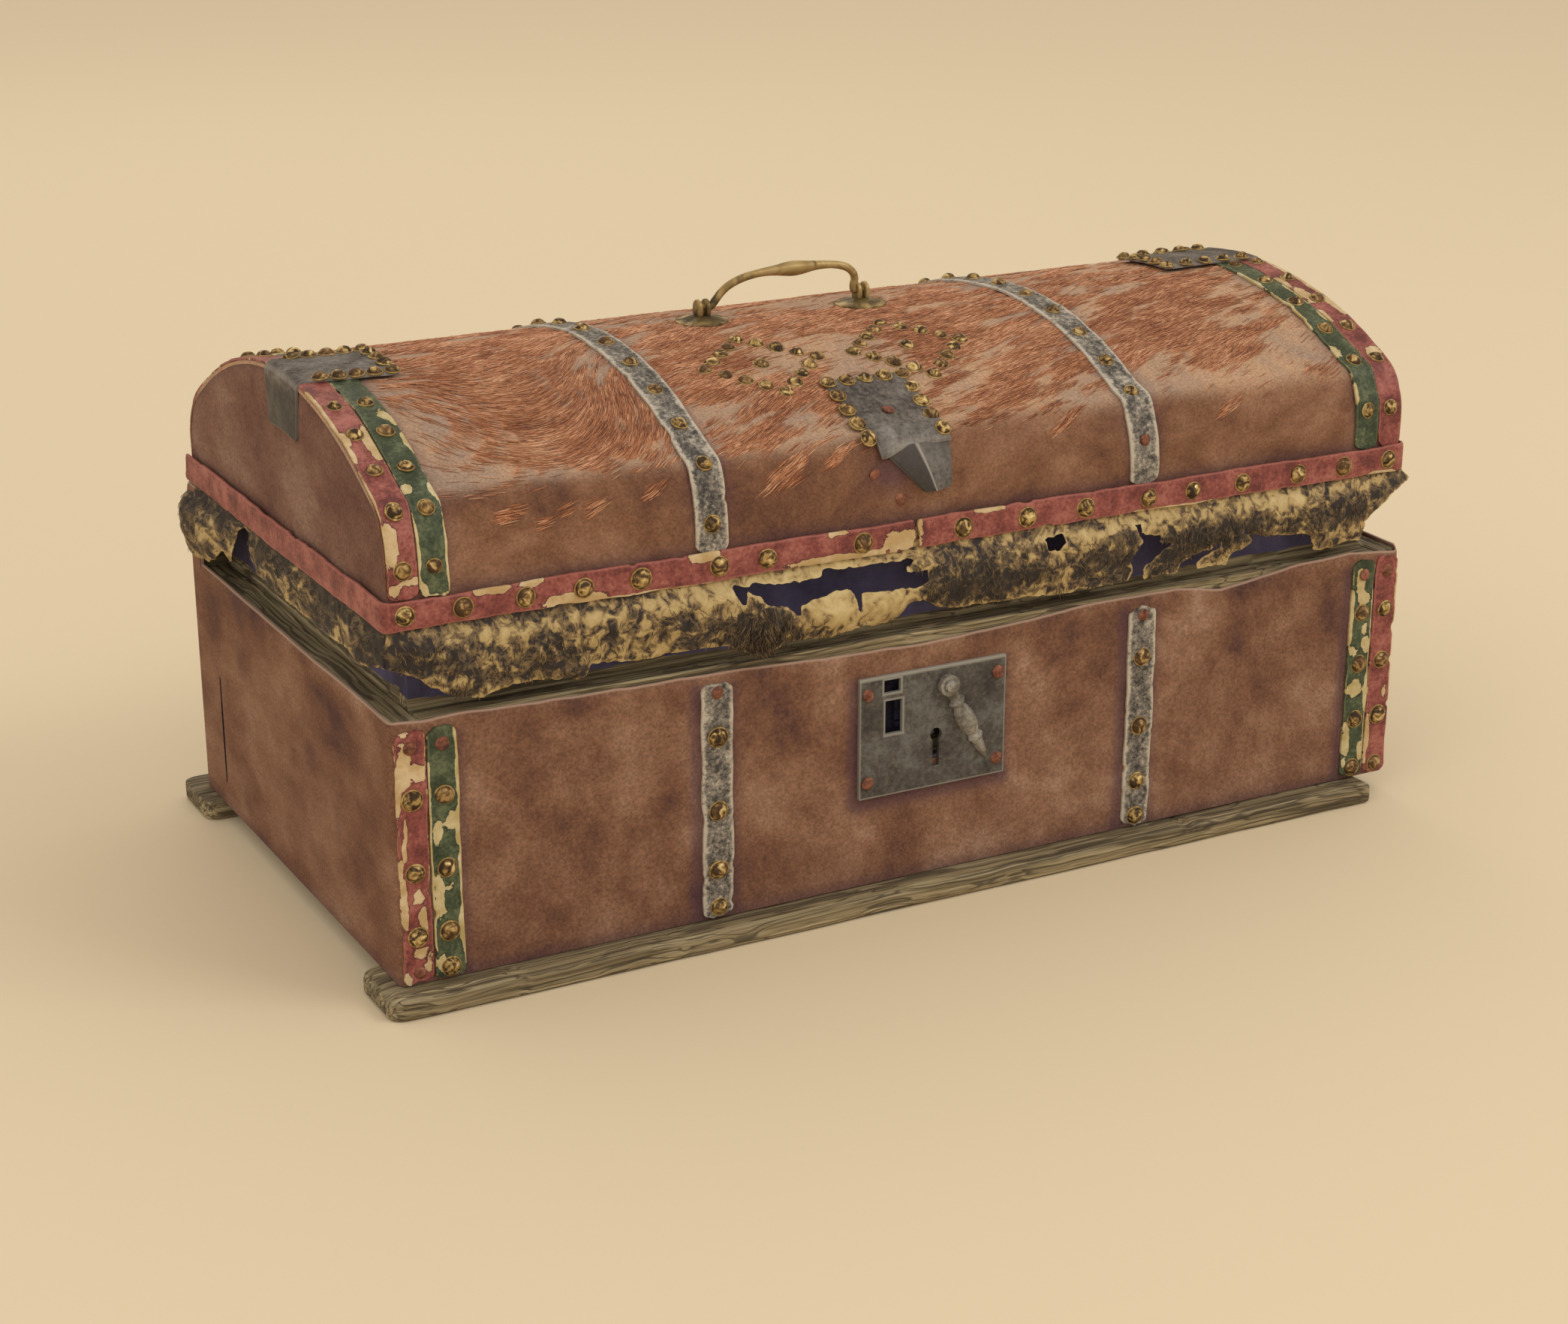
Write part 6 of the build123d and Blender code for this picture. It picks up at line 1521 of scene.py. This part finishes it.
def makePosts():
    # a turned rose, two tabs with round tops, and the pin's low heads outside them
    turn = np.linspace(0, 2 * np.pi, 40, endpoint=False)[None, :]
    rose = np.array(handle["rose"])[:, :, None] * mm
    arch = np.linspace(-0.5 * np.pi, 1.5 * np.pi, 28, endpoint=False)
    below = np.sin(arch) < 0
    outY = handle["tabRound"] * np.cos(arch) * np.where(below, 1.05, 1.0)
    outZ = np.where(below, handle["tabFoot"], handle["tabRound"]) * np.sin(arch)
    shrink = np.array([0.9, 1.0, 1.0, 0.9])[:, None] * mm
    middles = [handle["middle"] + side * handle["span"] / 2 for side in (-1, 1)]
    rings = []
    for side, middle in zip((-1, 1), middles):
        rings.append(np.stack([middle + rose[:, 0] * np.cos(turn), handle["pinY"] + rose[:, 0] * np.sin(turn),
                               handle["roseZ"] + rose[:, 1] + 0 * turn], -1))
        for low, high in handle["tabs"]:
            places = np.array([low, low + 0.35, high - 0.35, high])[:, None] * mm
            tab = np.stack([middle - side * places + 0 * arch, handle["pinY"] + outY * shrink,
                            handle["pinZ"] + outZ * shrink], -1)
            rings.append(tab[::-1] if side > 0 else tab)

    def marksAt(points):
        # dark inside the rose's ring
        away = np.minimum(*(np.hypot(points[:, 0] - middle, points[:, 1] - handle["pinY"])
                            for middle in middles))
        low = points[:, 2] < handle["roseZ"] + 3.85 * mm
        return {"shade": (1 - fade(away, 7.5 * mm, 9.8 * mm)) * low}
    turnedPiece("handlePosts", rings, "handleBrass", "lid", ("handle_posts",), marksAt)


makeBail()
makePosts()
print("handle made")

# Camera, light and floor

view = {"azimuth": -28.487, "elevation": 19.269, "away": 1.23419, "target": (-0.04419, -0.06682, 0.09471),
        "lens": 64.54, "sensor": 36, "reach": 100}
# each lamp: power, place and size
light = {"sky": 0.86, "tint": (1, 0.97, 0.93), "paper": (0.735, 0.592, 0.388), "aim": (0, 0, 0.1),
         "floor": 14.0,
         "lamps": {"key": (20, (1.5, -1.7, 2.2), 1.3), "fill": (8, (-2.2, -1.6, 1.4), 1.6),
                   "rim": (5, (0.3, 2.2, 1.8), 1.4)}}


def aim(name, data, place, target):
    # an object at a place, turned to look at the target
    thing = bpy.data.objects.new(name, data)
    thing.location = place
    thing.rotation_euler = (Vector(target) - Vector(place)).to_track_quat("-Z", "Y").to_euler()
    bpy.context.scene.collection.objects.link(thing)
    return thing


def makeCamera():
    # on a sphere round the target, at the azimuth and the elevation
    a, e = math.radians(view["azimuth"]), math.radians(view["elevation"])
    back = Vector((math.sin(a) * math.cos(e), -math.cos(a) * math.cos(e), math.sin(e)))
    data = bpy.data.cameras.new("camera")
    data.lens, data.sensor_width, data.clip_end = view["lens"], view["sensor"], view["reach"]
    bpy.context.scene.camera = aim("camera", data, Vector(view["target"]) + back * view["away"], view["target"])


def makeSky():
    # the camera, mirrors and glass see the paper's colour; everything else is lit by a plain sky
    world = bpy.data.worlds.new("studio")
    bpy.context.scene.world = world
    openTree(world)
    back = tree["nodes"]["Background"]
    join(light["tint"], back.inputs["Color"])
    join(light["sky"], back.inputs["Strength"])
    path = node("LightPath", {}).outputs
    seen = path["Is Camera Ray"]
    for ray in ("Is Glossy Ray", "Is Transmission Ray"):
        seen = node("Math", {0: seen, 1: path[ray]}, operation="ADD", use_clamp=True).outputs[0]
    shown = node("Background", {"Color": light["paper"]})
    both = node("MixShader", {0: seen, 1: back.outputs[0], 2: shown.outputs[0]})
    join(both.outputs[0], tree["nodes"]["World Output"].inputs[0])


def makeFloor():
    # one square of matt paper
    shader = startMaterial("paper")
    for key, value in (("Base Color", light["paper"]), ("Roughness", 0.95), ("Specular IOR Level", 0.1)):
        join(value, shader.inputs[key])
    mesh = bpy.data.meshes.new("floor")
    r = light["floor"]
    mesh.from_pydata([(-r, -r, 0), (r, -r, 0), (r, r, 0), (-r, r, 0)], [], [(0, 1, 2, 3)])
    mesh.materials.append(finishes["paper"])
    floor = bpy.data.objects.new("floor", mesh)
    bpy.context.scene.collection.objects.link(floor)


makeCamera()
for name, (power, place, size) in light["lamps"].items():
    data = bpy.data.lights.new(name, "AREA")
    data.energy, data.size = power, size
    aim(name, data, place, light["aim"])
makeSky()
makeFloor()
bpy.context.scene.view_settings.view_transform = "Standard"
print("camera, light and floor set")
